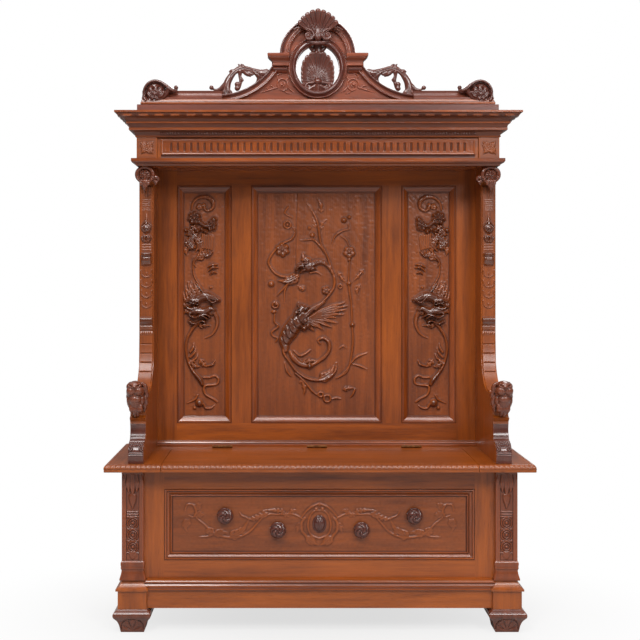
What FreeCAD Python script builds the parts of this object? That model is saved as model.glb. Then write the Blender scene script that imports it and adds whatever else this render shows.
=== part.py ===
import FreeCAD, Part
import math
import os

from FreeCAD import Vector

# Carved walnut hall bench: a lidded chest that is also the seat, a panelled back between two winged
# sides, a deep cornice and a pierced crest. Millimetres, +Z up. The origin is on the floor at the middle
# of the bench's box, the sitter faces -Y and the back stands towards +Y.

# Overall sizes of the seat, which is the widest and deepest part
seat_width = 1370.0
seat_depth = 460.0
seat_thickness = 24.0
seat_overhang = 50.0
seat_nosing_radius = 14.0
seat_underside_radius = 3.0

# Heights of the chest, from the floor up
foot_height = 76.0
plinth_height = 58.0
base_moulding_height = 32.0
chest_frame_height = 353.0

# Running clearance, press clearance, and how far a cutter runs past the wood
joint_clearance = 0.3
cut_overrun = 20.0

# Corner posts and plinth of the chest
post_width = 69.0
rear_post_width = 50.0
plinth_block_width = 92.0
plinth_block_proud = 12.0
block_cap_flare = 6.5
block_cap_fillet = 6.0
plinth_rail_setback = 8.0
plinth_rail_thickness = 22.0
base_moulding_projection = 9.0
base_moulding_fillet = 7.0

# Feet
foot_sole_width = 75.0
foot_neck_width = 92.0
foot_neck_height = 46.0
foot_bulge_width = 121.0
foot_bulge_height = 58.0
foot_top_fillet = 4.0
back_foot_width = 70.0
back_foot_taper = 12.0

# Front of the chest: frame, panel, moulding and carved bosses
frame_setback = 20.0
chest_frame_thickness = 26.0
chest_stile_width = 65.0
chest_top_rail_height = 64.0
chest_bottom_rail_height = 59.0
panel_setback = 10.0
panel_thickness = 12.0
groove_depth = 8.0
tenon_length = 30.0
tenon_thickness = 8.0
tenon_shoulder = 12.0
chest_moulding_width = 27.0
moulding_proud = 3.0
rosette_radius = 27.0
rosette_height = 14.0
rosette_thickness = 16.0
rosette_stem_radius = 14.0
cabochon_half_width = 19.0
cabochon_half_height = 25.0
cabochon_height = 14.0
rosette_place_shares = ((-0.645, 0.29), (-0.285, -0.23), (0.285, -0.23), (0.645, 0.29))

# Sides, back and bottom of the chest
side_setback = 12.0
side_rail_thickness = 22.0
side_top_rail_height = 64.0
side_bottom_rail_height = 59.0
side_panel_thickness = 10.0
chest_back_thickness = 12.0
chest_back_setback = 4.0
bottom_board_thickness = 14.0
bottom_board_rise = 20.0

# Lid, fixed seat boards and hinges
seat_end_width = 180.0
lid_gap = 1.5
back_rail_depth = 99.0
bearer_width = 40.0
bearer_height = 30.0
bearer_lap = 25.0
batten_width = 30.0
batten_height = 20.0
batten_inset = 65.0
batten_front_margin = 40.0
batten_back_margin = 30.0
hinge_end_inset = 175.0
hinge_length = 70.0
leaf_thickness = 1.3
leaf_height = 18.0
knuckle_radius = 4.5
knuckle_lift = 4.9
knuckle_gap = 0.5
pin_radius = 2.2
pin_clearance = 0.05
lid_knuckle_length = 24.0
hinge_screw_radius = 1.8
hinge_screw_length = 16.0
hinge_screw_spacing = 50.0

# Side wings, which rise from the seat as arms and carry the cornice
wing_inset = 73.0
wing_thickness = 50.0
wing_height = 971.0
wing_upper_depth = 160.0
arm_height = 214.0
arm_front_setback = 27.0
trim_thickness = 8.0
trim_width = 42.0
console_projection = 12.0
lower_console_bottom = 397.0
lower_console_height = 62.0
upper_console_bottom = 634.0
upper_console_height = 45.0
pendant_bottom = 713.0
pendant_height = 76.0
pendant_width = 24.0
# Arm outline from the foot up to the flat arm rest, as shares of the arm's reach and of its height
arm_foot_shares = ((0.985, 0.0), (1.0, 0.13), (0.95, 0.27))
arm_cove_shares = ((0.84, 0.335), (0.80, 0.50))
arm_shoulder_shares = ((0.815, 0.60), (0.86, 0.66))
arm_head_seat_shares = ((0.80, 0.69), (0.80, 0.95))
arm_rest_shares = ((0.788, 0.985), (0.75, 1.0), (0.476, 1.0))
# Sweep from the arm rest up to the straight upper part, as shares of the same reach and of its own rise
wing_sweep_rise = 183.0
wing_sweep_shares = ((0.15, 0.202), (0.015, 0.72), (0.0, 1.0))

# Lion heads on the arms and under the cornice
arm_lion_width = 67.0
arm_lion_height = 116.0
arm_lion_depth = 57.0
arm_lion_rise = 206.0
cornice_lion_width = 69.0
cornice_lion_height = 62.0
cornice_lion_drop = 33.0
ear_radius = 9.0
mane_set_share = 0.22
face_set_share = 0.45
face_lift_share = 0.08
face_share = 0.72
muzzle_share = 0.46

# Panelled back
back_frame_inset = 23.0
back_frame_thickness = 26.0
back_stile_width = 68.0
back_muntin_width = 68.0
back_centre_panel_share = 0.4128
back_bottom_rail_height = 80.0
back_panel_height = 840.0
back_top_rail_height = 51.0
back_panel_thickness = 14.0
back_moulding_width = 26.0
back_base_moulding_height = 19.0
back_base_moulding_projection = 14.0

# Entablature: frieze, architrave moulding and crown
frieze_height = 97.0
frieze_overhang = 68.0
frieze_block_width = 69.0
frieze_block_proud = 8.0
frieze_thickness = 22.0
soffit_thickness = 12.0
architrave_height = 25.0
architrave_projection = 17.0
architrave_fillet = 5.0
crown_height = 82.0
crown_projection = 66.0
crown_wall = 20.0
# Crown profile as shares of its projection and height, bottom to top
crown_cove_shares = ((0.03, 0.0), (0.05, 0.16), (0.21, 0.27))
crown_corona_shares = ((0.35, 0.305), (0.35, 0.49))
crown_cyma_shares = ((0.37, 0.64), (0.50, 0.73), (0.68, 0.76), (0.70, 0.79))
crown_top_shares = ((0.84, 0.82), (0.94, 0.90), (1.0, 0.91), (1.0, 1.0))
top_board_thickness = 12.0
flute_count = 46
flute_end_margin = 23.0
flute_width = 9.0
flute_height = 30.0
flute_depth = 3.0
flute_band_height = 50.0
flute_band_rise = 39.0
flute_band_inset = 13.0
flute_band_thickness = 5.0

# Crest
crest_plinth_height = 30.0
crest_plinth_setback = 8.0
crest_plinth_depth = 110.0
crest_nosing_height = 20.0
crest_nosing_depth = 34.0
crest_inset = 15.0
crest_end_rail_height = 30.0
crest_board_setback = 34.0
crest_board_thickness = 24.0
crest_arch_radius = 122.0
crest_arch_rise = 170.0
crest_arch_band = 25.0
crest_arch_lip = 7.0
crest_arch_projection = 22.0
crest_ear_half_width = 172.0
crest_ear_bottom_half_width = 156.0
crest_ear_rise = 133.0
crest_ear_height = 42.0
crest_ear_projection = 28.0
crest_foot_half_width = 325.0
crest_ring_rise = 128.0
crest_ring_half_width = 73.0
crest_ring_half_height = 79.0
crest_ring_band = 27.0
crest_ring_projection = 22.0
swan_neck_band = 22.0
swan_neck_projection = 14.0
swan_neck_foot_height = 16.0
swan_neck_middle_shares = (0.40, 0.33)
shell_lap = 9.0
shell_height = 102.0
shell_half_width = 70.0
shell_thickness = 26.0
shell_lobe_count = 9
shell_start_deg = 26.0
shell_tongue = 14.0
volute_radius = 16.0
volute_offset = 33.0
inner_shell_radius = 60.0
inner_shell_thickness = 22.0
inner_shell_lobe_count = 17
inner_shell_drop = 2.0
inner_shell_stem_width = 30.0
inner_shell_foot_width = 74.0
scroll_thickness = 22.0
scroll_width = 190.0
scroll_height = 118.0
end_volute_radius = 38.0
end_volute_thickness = 26.0
end_volute_inset = 44.0
end_volute_tail = 72.0
end_volute_ball_radius = 8.0
crest_brace_depth = 50.0
crest_brace_height = 60.0
crest_brace_thickness = 18.0
crest_brace_x = 200.0
# Leafy scroll beside the swan neck, as shares of its width (towards the end of the crest) and height
scroll_outer_shares = (
    (0.02, 0.80), (0.22, 0.78), (0.45, 0.97), (0.50, 1.0), (0.53, 0.93), (0.68, 0.80),
    (0.80, 0.52), (0.90, 0.26), (1.0, 0.30), (1.02, 0.16), (0.93, 0.12), (0.72, 0.11), (0.46, 0.14),
)
scroll_near_gap_shares = ((0.18, 0.66), (0.36, 0.72), (0.44, 0.56), (0.40, 0.30), (0.24, 0.46))
scroll_far_gap_shares = ((0.52, 0.72), (0.65, 0.58), (0.66, 0.36), (0.56, 0.26), (0.50, 0.30))

# Places worked out from the sizes above
half_seat = seat_width / 2
front_y = -seat_depth / 2
back_y = seat_depth / 2
plinth_z = foot_height
base_moulding_z = plinth_z + plinth_height
frame_z = base_moulding_z + base_moulding_height
seat_z = frame_z + chest_frame_height
seat_top = seat_z + seat_thickness
post_x = half_seat - seat_overhang
post_y = front_y + seat_overhang
post_inner_x = post_x - post_width
frame_y = post_y + frame_setback
frame_back_y = frame_y + chest_frame_thickness
panel_y = frame_y + panel_setback
chest_opening_x = post_inner_x - chest_stile_width
chest_opening_z = frame_z + chest_bottom_rail_height
chest_opening_top = seat_z - chest_top_rail_height
side_x = post_x - side_setback
side_inner_x = side_x - side_rail_thickness
rear_post_y = back_y - rear_post_width
rear_post_inner_x = post_x - rear_post_width
block_x = post_x - post_width / 2
block_y = post_y + post_width / 2
plinth_face_y = block_y - plinth_block_width / 2 + plinth_block_proud
plinth_side_x = block_x + plinth_block_width / 2 - plinth_rail_setback
seam_y = back_y - back_rail_depth
hinge_z = seat_top + knuckle_lift
lid_half_width = half_seat - seat_end_width
hinge_spacing = lid_half_width - hinge_end_inset
wing_outer_x = half_seat - wing_inset
wing_inner_x = wing_outer_x - wing_thickness
wing_x = wing_outer_x - wing_thickness / 2
wing_upper_y = back_y - wing_upper_depth
wing_top = seat_top + wing_height
arm_reach = wing_upper_y - front_y - arm_front_setback
back_frame_back_y = back_y - back_frame_inset
back_face_y = back_frame_back_y - back_frame_thickness
back_panel_y = back_face_y + panel_setback
back_opening_z = seat_top + back_bottom_rail_height
back_opening_top = back_opening_z + back_panel_height
back_top = back_opening_top + back_top_rail_height
back_outer_x = wing_inner_x
back_center_half_width = back_outer_x * back_centre_panel_share
side_opening_x0 = back_center_half_width + back_muntin_width
side_opening_x1 = back_outer_x - back_stile_width
frieze_z = wing_top
frieze_top = frieze_z + frieze_height
frieze_y = wing_upper_y - frieze_overhang
frieze_block_inner_x = wing_outer_x - frieze_block_width
flute_band_half_width = frieze_block_inner_x - flute_band_inset
crest_half_width = wing_outer_x - crest_inset
crown_top = frieze_top + crown_height
crest_z = crown_top + crest_plinth_height
crest_plinth_y = frieze_y + crest_plinth_setback
crest_board_y = frieze_y + crest_board_setback
crest_panel_z = crest_z + crest_nosing_height
arch_z = crest_z + crest_arch_rise
ring_z = crest_z + crest_ring_rise
ear_z = crest_z + crest_ear_rise
ear_top = ear_z + crest_ear_height


def block(x0, x1, y0, y1, z0, z1):
    """A rectangular piece between two corners."""
    return Part.makeBox(x1 - x0, y1 - y0, z1 - z0, Vector(x0, y0, z0))


def mirror(shape):
    """The same piece on the other side of the bench."""
    return shape.mirror(Vector(0, 0, 0), Vector(1, 0, 0))


def pair(shape):
    return [shape, mirror(shape)]


def moved(shape, x=0.0, y=0.0, z=0.0):
    copy = shape.copy()
    copy.translate(Vector(x, y, z))
    return copy


PLANES = {
    "yz": lambda u, v, w: Vector(w, u, v),
    "xz": lambda u, v, w: Vector(u, w, v),
    "xy": lambda u, v, w: Vector(u, v, w),
}


def outline(plane, level, start, steps):
    """A closed wire in a plane: a step is a point for a straight run, or a middle and an end for an arc."""
    place = PLANES[plane]
    edges = []
    here = start
    for step in list(steps) + [start]:
        if isinstance(step[0], tuple):
            middle, end = step
            edges.append(Part.Arc(place(*here, level), place(*middle, level), place(*end, level)).toShape())
        else:
            end = step
            if math.dist(here, end) == 0:
                continue
            edges.append(Part.LineSegment(place(*here, level), place(*end, level)).toShape())
        here = end
    return Part.Wire(edges)


def prism(plane, start_level, end_level, start, steps):
    """The outline pushed from one level to another, square to its plane."""
    direction = PLANES[plane](0, 0, end_level - start_level)
    return Part.Face(outline(plane, start_level, start, steps)).extrude(direction)


def joined(shapes):
    """One solid from pieces that are glued or carved as one."""
    whole = shapes[0]
    for shape in shapes[1:]:
        whole = whole.fuse(shape)
    return whole.removeSplitter()


def capsule(x, y, z, axis, radius, length):
    """A round bar with domed ends, along one of the bench's axes and centred on a point."""
    along = {"x": Vector(1, 0, 0), "y": Vector(0, 1, 0), "z": Vector(0, 0, 1)}[axis]
    centre = Vector(x, y, z)
    start = centre - along * (length / 2 - radius)
    end = centre + along * (length / 2 - radius)
    bar = Part.makeCylinder(radius, length - 2 * radius, start, along)
    return joined([bar, Part.makeSphere(radius, start), Part.makeSphere(radius, end)])


def rounded_edges(shape, radius, wanted):
    """Fillets the straight edges whose middle point passes the test."""
    edges = [e for e in shape.Edges if wanted(e.CenterOfMass, e)]
    return shape.makeFillet(radius, edges)


def mapped(steps, place):
    """The same steps with each point put through a function."""
    return [tuple(place(p) for p in s) if isinstance(s[0], tuple) else place(s) for s in steps]


def walked_back(start, steps):
    """The same outline drawn from its end back to its start."""
    ends = [start] + [s[1] if isinstance(s[0], tuple) else s for s in steps]
    back = [(s[0], ends[i]) if isinstance(s[0], tuple) else ends[i] for i, s in enumerate(steps)]
    return ends[-1], back[::-1]


def square_turned(x, y, start, steps, half_limit):
    """A square piece whose four sides share one profile, given as half width against height."""
    last, back = walked_back(start, steps)

    def swept(plane, centre, low, high):
        def right(point):
            return (centre + point[0], point[1])

        def left(point):
            return (centre - point[0], point[1])
        path = mapped(steps, right) + [left(last)] + mapped(back, left)
        return prism(plane, low, high, right(start), path)
    return swept("xz", x, y - half_limit, y + half_limit).common(
        swept("yz", y, x - half_limit, x + half_limit))


def mitred_frame(x0, x1, z0, z1, face_y, profile_start, profile_steps, width):
    """Four lengths of moulding, mitred round an opening. The profile runs inwards from the opening's
    edge and forwards from face_y."""
    reach = width + cut_overrun
    lengths = []
    sides = (
        ("x", z0, 1, ((x0, z0), (x1, z0), (x1 - reach, z0 + reach), (x0 + reach, z0 + reach))),
        ("x", z1, -1, ((x0, z1), (x1, z1), (x1 - reach, z1 - reach), (x0 + reach, z1 - reach))),
        ("z", x0, 1, ((x0, z0), (x0, z1), (x0 + reach, z1 - reach), (x0 + reach, z0 + reach))),
        ("z", x1, -1, ((x1, z0), (x1, z1), (x1 - reach, z1 - reach), (x1 - reach, z0 + reach))),
    )
    for run, edge, inwards, corners in sides:
        def upright(point):
            return (face_y - point[1], edge + inwards * point[0])

        def level(point):
            return (edge + inwards * point[0], face_y - point[1])
        if run == "x":
            bar = prism("yz", x0, x1, upright(profile_start), mapped(profile_steps, upright))
        else:
            bar = prism("xy", z0, z1, level(profile_start), mapped(profile_steps, level))
        wedge = prism("xz", face_y - reach, face_y + reach, corners[0], corners[1:])
        lengths.append(bar.common(wedge))
    return lengths


def mitred_returns(half_width, face_y, end_y, z, start, steps, reach):
    """A moulding along the front with a return down each side. The profile runs outwards and upwards."""
    def front_place(point):
        return (face_y - point[0], z + point[1])

    def side_place(point):
        return (half_width + point[0], z + point[1])

    top = z + reach
    front = prism("yz", -half_width - reach, half_width + reach, front_place(start),
                  mapped(steps, front_place))
    side = prism("xz", face_y - reach, end_y, side_place(start), mapped(steps, side_place))
    corner = (half_width + reach, face_y - reach)
    inner = (half_width - reach, face_y + reach)
    front_wedge = prism(
        "xy", z - reach, top, corner,
        (inner, (-inner[0], inner[1]), (-corner[0], corner[1])),
    )
    side_wedge = prism(
        "xy", z - reach, top, corner,
        ((half_width + reach, end_y + reach), (half_width - reach, end_y + reach), inner),
    )
    return [front.common(front_wedge)] + pair(side.common(side_wedge))


def framed_panel_profile(width, depth):
    """Panel moulding: a fillet, a quarter hollow, a second fillet and a small round down to the panel."""
    fillet_share = 0.22
    middle_share = 0.55
    ledge_share = 0.68
    lip_share = 0.18
    return (0, 0), (
        (0, depth),
        (width * fillet_share, depth),
        ((width * middle_share, depth * middle_share), (width * ledge_share, depth * (1 - ledge_share))),
        ((width * (1 + ledge_share) / 2, depth * ledge_share / 2), (width, depth * lip_share)),
        (width, 0),
    )


def front_foot(x, y):
    """A square foot: tapered block, quarter hollow neck and a bold round below the plinth."""
    half_sole = foot_sole_width / 2
    half_neck = foot_neck_width / 2
    half_bulge = foot_bulge_width / 2
    round_top = foot_height - foot_top_fillet
    steps = (
        (((half_sole + half_neck * 2) / 3, foot_neck_height * 0.6), (half_neck, foot_neck_height)),
        ((half_bulge, foot_bulge_height), (half_neck, round_top)),
        (half_neck, foot_height),
    )
    return square_turned(x, y, (half_sole, 0.0), steps, half_bulge + cut_overrun)


def back_foot():
    """A plain tapered foot under the rear corner."""
    half_top = back_foot_width / 2
    half_sole = half_top - back_foot_taper / 2
    y = back_y - half_top
    return square_turned(block_x, y, (half_sole, 0.0), ((half_top, foot_height),), half_top + cut_overrun)


def block_cap():
    """The moulding that runs round the top of a plinth block, drawn in to the foot of the post."""
    half_block = plinth_block_width / 2
    half_post = post_width / 2
    half_flare = half_block + block_cap_flare
    top = frame_z
    steps = (
        (half_flare, base_moulding_z),
        (half_flare, base_moulding_z + block_cap_fillet),
        (((half_flare + half_post - block_cap_fillet) / 2, (base_moulding_z + top) / 2), (half_post, top)),
    )
    return square_turned(block_x, block_y, (half_block, base_moulding_z), steps, half_flare + cut_overrun)


def tenoned_rail(x0, x1, y0, y1, z0, z1):
    """A rail with a tenon at each end, which stands inside the stiles."""
    middle = (y0 + y1) / 2
    tenon = block(
        x0 - tenon_length, x1 + tenon_length,
        middle - tenon_thickness / 2, middle + tenon_thickness / 2,
        z0 + tenon_shoulder, z1 - tenon_shoulder,
    )
    return joined([block(x0, x1, y0, y1, z0, z1), tenon])


def with_sockets(shape, guests):
    """Cuts the places of tenons and panel edges out of a piece."""
    for guest in guests:
        shape = shape.cut(guest)
    return shape


def grown(x0, x1, y0, y1, z0, z1):
    """The room for a panel in its grooves."""
    c = joint_clearance
    return block(x0 - c, x1 + c, y0 - c, y1 + c, z0 - c, z1 + c)


def chest_front():
    """Stiles, rails, carved panel, mitred moulding and bosses of the chest's front."""
    half, z0, z1 = chest_opening_x, chest_opening_z, chest_opening_top
    bounds = (
        -half - groove_depth, half + groove_depth, panel_y, panel_y + panel_thickness,
        z0 - groove_depth, z1 + groove_depth,
    )
    groove = grown(*bounds)
    top_rail = tenoned_rail(-half, half, frame_y, frame_back_y, z1, seat_z)
    bottom_rail = tenoned_rail(-half, half, frame_y, frame_back_y, frame_z, z0)
    stile = block(half, post_inner_x, frame_y, frame_back_y, frame_z, seat_z)
    stile = with_sockets(stile, [top_rail, bottom_rail, groove, bottom_board_room()])
    depth = panel_setback + moulding_proud
    start, steps = framed_panel_profile(chest_moulding_width, depth)
    moulding = mitred_frame(-half, half, z0, z1, panel_y, start, steps, chest_moulding_width)
    field_x = half - chest_moulding_width
    field_half_z = (z1 - z0) / 2 - chest_moulding_width
    centre_z = (z0 + z1) / 2
    rosettes = []
    for across, up in rosette_place_shares:
        x, z = across * field_x, centre_z + up * field_half_z
        foot = Vector(x, panel_y, z)
        stem = Part.makeCylinder(rosette_stem_radius, rosette_height, foot, Vector(0, -1, 0))
        cap = Part.makeCylinder(rosette_radius, rosette_thickness, Vector(x, panel_y - rosette_height, z),
                                Vector(0, -1, 0))
        cap = cap.makeFillet(rosette_thickness * 0.45, [e for e in cap.Edges if e.Closed])
        rosettes.append(joined([stem, cap]))
    boss = capsule(0, panel_y + cabochon_half_width - cabochon_height, centre_z, "z", cabochon_half_width,
                   2 * cabochon_half_height)
    boss = boss.common(block(-cabochon_half_width, cabochon_half_width, panel_y - cabochon_height * 2,
                             panel_y, z0, z1))
    return {
        "chest_front_stiles": pair(stile),
        "chest_front_rails": [with_sockets(top_rail, [groove]),
                              with_sockets(bottom_rail, [groove, bottom_board_room()])],
        "chest_front_panel": [block(*bounds)],
        "chest_panel_moulding": moulding,
        "chest_carved_bosses": rosettes + [boss],
    }


def bottom_board_bounds():
    return (
        -side_inner_x - groove_depth, side_inner_x + groove_depth,
        frame_back_y - groove_depth, back_y - chest_back_setback - chest_back_thickness,
        frame_z + bottom_board_rise, frame_z + bottom_board_rise + bottom_board_thickness,
    )


def bottom_board_room():
    return grown(*bottom_board_bounds())


def chest_body():
    """Posts, side rails and panels, back, bottom and the bearers under the seat boards."""
    back_board_y = back_y - chest_back_setback - chest_back_thickness
    post = block(post_inner_x, post_x, post_y, post_y + post_width, frame_z, seat_z)
    rear_post = block(rear_post_inner_x, post_x, rear_post_y, back_y, frame_z, seat_z)
    y0, y1 = post_y + post_width, rear_post_y
    panel_x0 = side_inner_x + (side_rail_thickness - side_panel_thickness) / 2
    panel_bounds = (
        panel_x0, panel_x0 + side_panel_thickness, y0 - groove_depth, y1 + groove_depth,
        frame_z + side_bottom_rail_height - groove_depth, seat_z - side_top_rail_height + groove_depth,
    )
    room = grown(*panel_bounds)
    back_bounds = (
        -rear_post_inner_x - groove_depth, rear_post_inner_x + groove_depth,
        back_board_y, back_board_y + chest_back_thickness, frame_z, seat_z,
    )
    top_rail = block(side_inner_x, side_x, y0, y1, seat_z - side_top_rail_height, seat_z)
    bottom_rail = block(side_inner_x, side_x, y0, y1, frame_z, frame_z + side_bottom_rail_height)
    bottom = block(*bottom_board_bounds())
    posts_room = [grown(post_inner_x, post_x, post_y, post_y + post_width, frame_z, seat_z),
                  grown(rear_post_inner_x, post_x, rear_post_y, back_y, frame_z, seat_z)]
    for corner in posts_room:
        bottom = bottom.cut(corner).cut(mirror(corner))
    bearer_x0 = lid_half_width - bearer_lap
    bearer = block(bearer_x0, bearer_x0 + bearer_width, frame_back_y, back_board_y,
                   seat_z - bearer_height, seat_z)
    return {
        "front_posts": pair(post.cut(room)),
        "rear_posts": pair(with_sockets(rear_post, [room, grown(*back_bounds)])),
        "chest_side_rails": pair(top_rail.cut(room)) + pair(
            with_sockets(bottom_rail, [room, bottom_board_room()])),
        "chest_side_panels": pair(block(*panel_bounds)),
        "chest_back_board": [block(*back_bounds)],
        "chest_bottom_board": [bottom],
        "seat_bearers": pair(bearer),
    }


def plinth():
    """Feet, plinth blocks, plinth rails and the base moulding."""
    half = plinth_block_width / 2
    x0, x1 = block_x - half, block_x + half
    low_block = block(x0, x1, block_y - half, block_y + half, plinth_z, base_moulding_z)
    cap = block_cap()
    inner_x = block_x - half
    front_rail = block(-inner_x, inner_x, plinth_face_y, plinth_face_y + plinth_rail_thickness,
                       plinth_z, frame_z)
    front_rail = front_rail.cut(cap).cut(mirror(cap))
    side_rail = block(plinth_side_x - plinth_rail_thickness, plinth_side_x, block_y + half, back_y,
                      plinth_z, frame_z)
    side_rail = side_rail.cut(cap)
    back_rail_x = plinth_side_x - plinth_rail_thickness
    back_rail = block(-back_rail_x, back_rail_x, back_y - plinth_rail_thickness, back_y, plinth_z, frame_z)
    out, lip, rise = base_moulding_projection, base_moulding_fillet, base_moulding_height
    waist_share = 0.35
    top_share = 0.2
    steps = (
        (out, 0), (out, lip),
        ((out * 0.4, rise * 0.5), (out * waist_share, rise * (1 - top_share))),
        (out * top_share, rise), (0, rise),
    )

    def front_place(point):
        return (plinth_face_y - point[0], base_moulding_z + point[1])

    def side_place(point):
        return (plinth_side_x + point[0], base_moulding_z + point[1])
    front_bar = prism("yz", -inner_x, inner_x, front_place((0, 0)), mapped(steps, front_place))
    side_bar = prism("xz", block_y + half, back_y, side_place((0, 0)), mapped(steps, side_place))
    return {
        "front_feet": pair(front_foot(block_x, block_y)),
        "back_feet": pair(back_foot()),
        "plinth_blocks": pair(low_block) + pair(cap),
        "plinth_front_rail": [front_rail],
        "plinth_side_rails": pair(side_rail),
        "plinth_back_rail": [back_rail],
        "base_moulding": [front_bar.cut(cap).cut(mirror(cap))] + pair(side_bar.cut(cap)),
    }


def hinge_places():
    return [-hinge_spacing, 0.0, hinge_spacing]


def hinge_screw_places():
    """Where each leaf's screws go in: across the bench and up."""
    z = seat_top - leaf_height / 2
    return [(x + side * hinge_screw_spacing / 2, z) for x in hinge_places() for side in (-1, 1)]


def seat():
    """Fixed end boards, fixed back board, lid with its battens, and three butt hinges."""
    def nosed(shape, sides):
        def wanted(middle, edge):
            at_top = abs(middle.z - seat_top) < joint_clearance
            at_front = abs(middle.y - front_y) < joint_clearance
            at_side = sides and abs(middle.x - half_seat) < joint_clearance
            return at_top and (at_front or at_side)

        def below(middle, edge):
            at_bottom = abs(middle.z - seat_z) < joint_clearance
            at_front = abs(middle.y - front_y) < joint_clearance
            at_side = sides and abs(middle.x - half_seat) < joint_clearance
            return at_bottom and (at_front or at_side)
        return rounded_edges(rounded_edges(shape, seat_nosing_radius, wanted), seat_underside_radius, below)

    end = nosed(block(lid_half_width, half_seat, front_y, back_y, seat_z, seat_top), True)
    half_lid = lid_half_width - lid_gap
    lid = nosed(block(-half_lid, half_lid, front_y, seam_y - lid_gap, seat_z, seat_top), False)
    back_rail = block(-lid_half_width, lid_half_width, seam_y + lid_gap, back_y, seat_z, seat_top)
    batten_x = half_lid - batten_inset
    batten = block(
        batten_x - batten_width / 2, batten_x + batten_width / 2,
        frame_back_y + batten_front_margin, seam_y - batten_back_margin, seat_z - batten_height, seat_z)
    lid_leaves, seat_leaves, pins, lid_screws, seat_screws = [], [], [], [], []
    half_length = hinge_length / 2
    def turned(radius, length, start):
        """A round piece on the hinge's axis."""
        return Part.makeCylinder(radius, length, Vector(start, seam_y, hinge_z), Vector(1, 0, 0))

    half_middle = lid_knuckle_length / 2
    outer_length = half_length - half_middle - knuckle_gap
    for x in hinge_places():
        bore_length = hinge_length + cut_overrun
        bore = turned(pin_radius + pin_clearance, bore_length, x - bore_length / 2)
        plate = block(x - half_length, x + half_length, seam_y - lid_gap,
                      seam_y - lid_gap + leaf_thickness, seat_top - leaf_height, seat_top)
        tab = block(x - half_middle, x + half_middle, seam_y - lid_gap,
                    seam_y - lid_gap + leaf_thickness, seat_top, hinge_z)
        barrel = turned(knuckle_radius, lid_knuckle_length, x - half_middle)
        lid_leaves.append(joined([plate, tab, barrel]).cut(bore))
        parts = [block(x - half_length, x + half_length, seam_y + lid_gap - leaf_thickness,
                       seam_y + lid_gap, seat_top - leaf_height, seat_top)]
        for start in (x - half_length, x + half_middle + knuckle_gap):
            parts.append(block(start, start + outer_length, seam_y + lid_gap - leaf_thickness,
                               seam_y + lid_gap, seat_top, hinge_z))
            parts.append(turned(knuckle_radius, outer_length, start))
        seat_leaves.append(joined(parts).cut(bore))
        pins.append(turned(pin_radius, hinge_length, x - half_length))
    for x, z in hinge_screw_places():
        lid_screws.append(Part.makeCylinder(
            hinge_screw_radius, hinge_screw_length, Vector(x, seam_y - lid_gap + leaf_thickness, z),
            Vector(0, -1, 0)))
        seat_screws.append(Part.makeCylinder(
            hinge_screw_radius, hinge_screw_length, Vector(x, seam_y + lid_gap - leaf_thickness, z),
            Vector(0, 1, 0)))
    return {
        "seat_end_boards": pair(end),
        "seat_back_board": [with_sockets(back_rail, seat_screws)],
        "seat_lid": [with_sockets(lid, lid_screws)],
        "lid_battens": pair(batten),
        "hinge_lid_leaves": [with_sockets(leaf, lid_screws) for leaf in lid_leaves],
        "hinge_seat_leaves": [with_sockets(leaf, seat_screws) for leaf in seat_leaves],
        "hinge_pins": pins,
        "hinge_lid_screws": lid_screws,
        "hinge_seat_screws": seat_screws,
    }


def arm_point(shares, base, rise):
    """A point of the wing's front outline, from shares of the arm's reach forward and of a height."""
    reach_share, height_share = shares
    return (wing_upper_y - arm_reach * reach_share, base + rise * height_share)


def wing_front_steps():
    """The front edge of the wing from the foot up to the cornice."""
    def low(shares):
        return [arm_point(s, seat_top, arm_height) for s in shares]
    foot, cove, shoulder, seat_line, rest = [
        low(s) for s in (arm_foot_shares, arm_cove_shares, arm_shoulder_shares, arm_head_seat_shares,
                         arm_rest_shares)
    ]
    sweep = [arm_point(s, seat_top + arm_height, wing_sweep_rise) for s in wing_sweep_shares]
    return foot[0], [
        (foot[1], foot[2]), (cove[0], cove[1]), shoulder[0], shoulder[1], seat_line[0], seat_line[1],
        (rest[0], rest[1]), rest[2], (sweep[0], sweep[1]), sweep[2],
    ]


def wings():
    """The two scrolled side boards with the carved strip up their front edge."""
    start, steps = wing_front_steps()
    closing = [(wing_upper_y, wing_top), (back_y, wing_top), (back_y, seat_top)]
    board = prism("yz", wing_inner_x, wing_outer_x, start, steps + closing)
    x0, x1 = wing_x - trim_width / 2, wing_x + trim_width / 2
    strip = moved(prism("yz", x0, x1, start, steps + closing), y=-trim_thickness).cut(board)
    rest_y, rest_z = arm_point(arm_rest_shares[-1], seat_top, arm_height)
    strip_top = wing_top - cornice_lion_drop - cornice_lion_height / 2
    strip = strip.common(block(x0, x1, rest_y - trim_thickness, wing_upper_y, rest_z, strip_top))
    blocks = []
    for bottom, height in ((lower_console_bottom, lower_console_height),
                           (upper_console_bottom, upper_console_height)):
        z0, z1 = seat_top + bottom, seat_top + bottom + height
        face = wing_upper_y - trim_thickness
        out = face - console_projection
        hollow, cap = console_projection / 4, height / 6
        blocks.append(prism("yz", x0, x1, (face, z0), (
            ((out + hollow, z0 + height / 3), (out, z0 + height / 2)), (out, z1 - cap),
            ((out + hollow, z1 - cap / 2), (out + hollow * 1.4, z1)), (face, z1))))
    pendant = capsule(
        wing_x, wing_upper_y - trim_thickness, seat_top + pendant_bottom + pendant_height / 2,
        "z", pendant_width / 2, pendant_height)
    pendant = pendant.common(block(x0, x1, front_y, wing_upper_y, seat_top, wing_top)).cut(board)
    strip = joined([strip, pendant] + blocks)
    return {
        "wing_left": [mirror(board)],
        "wing_right": [board],
        "wing_carved_strips": pair(strip),
    }


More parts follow.
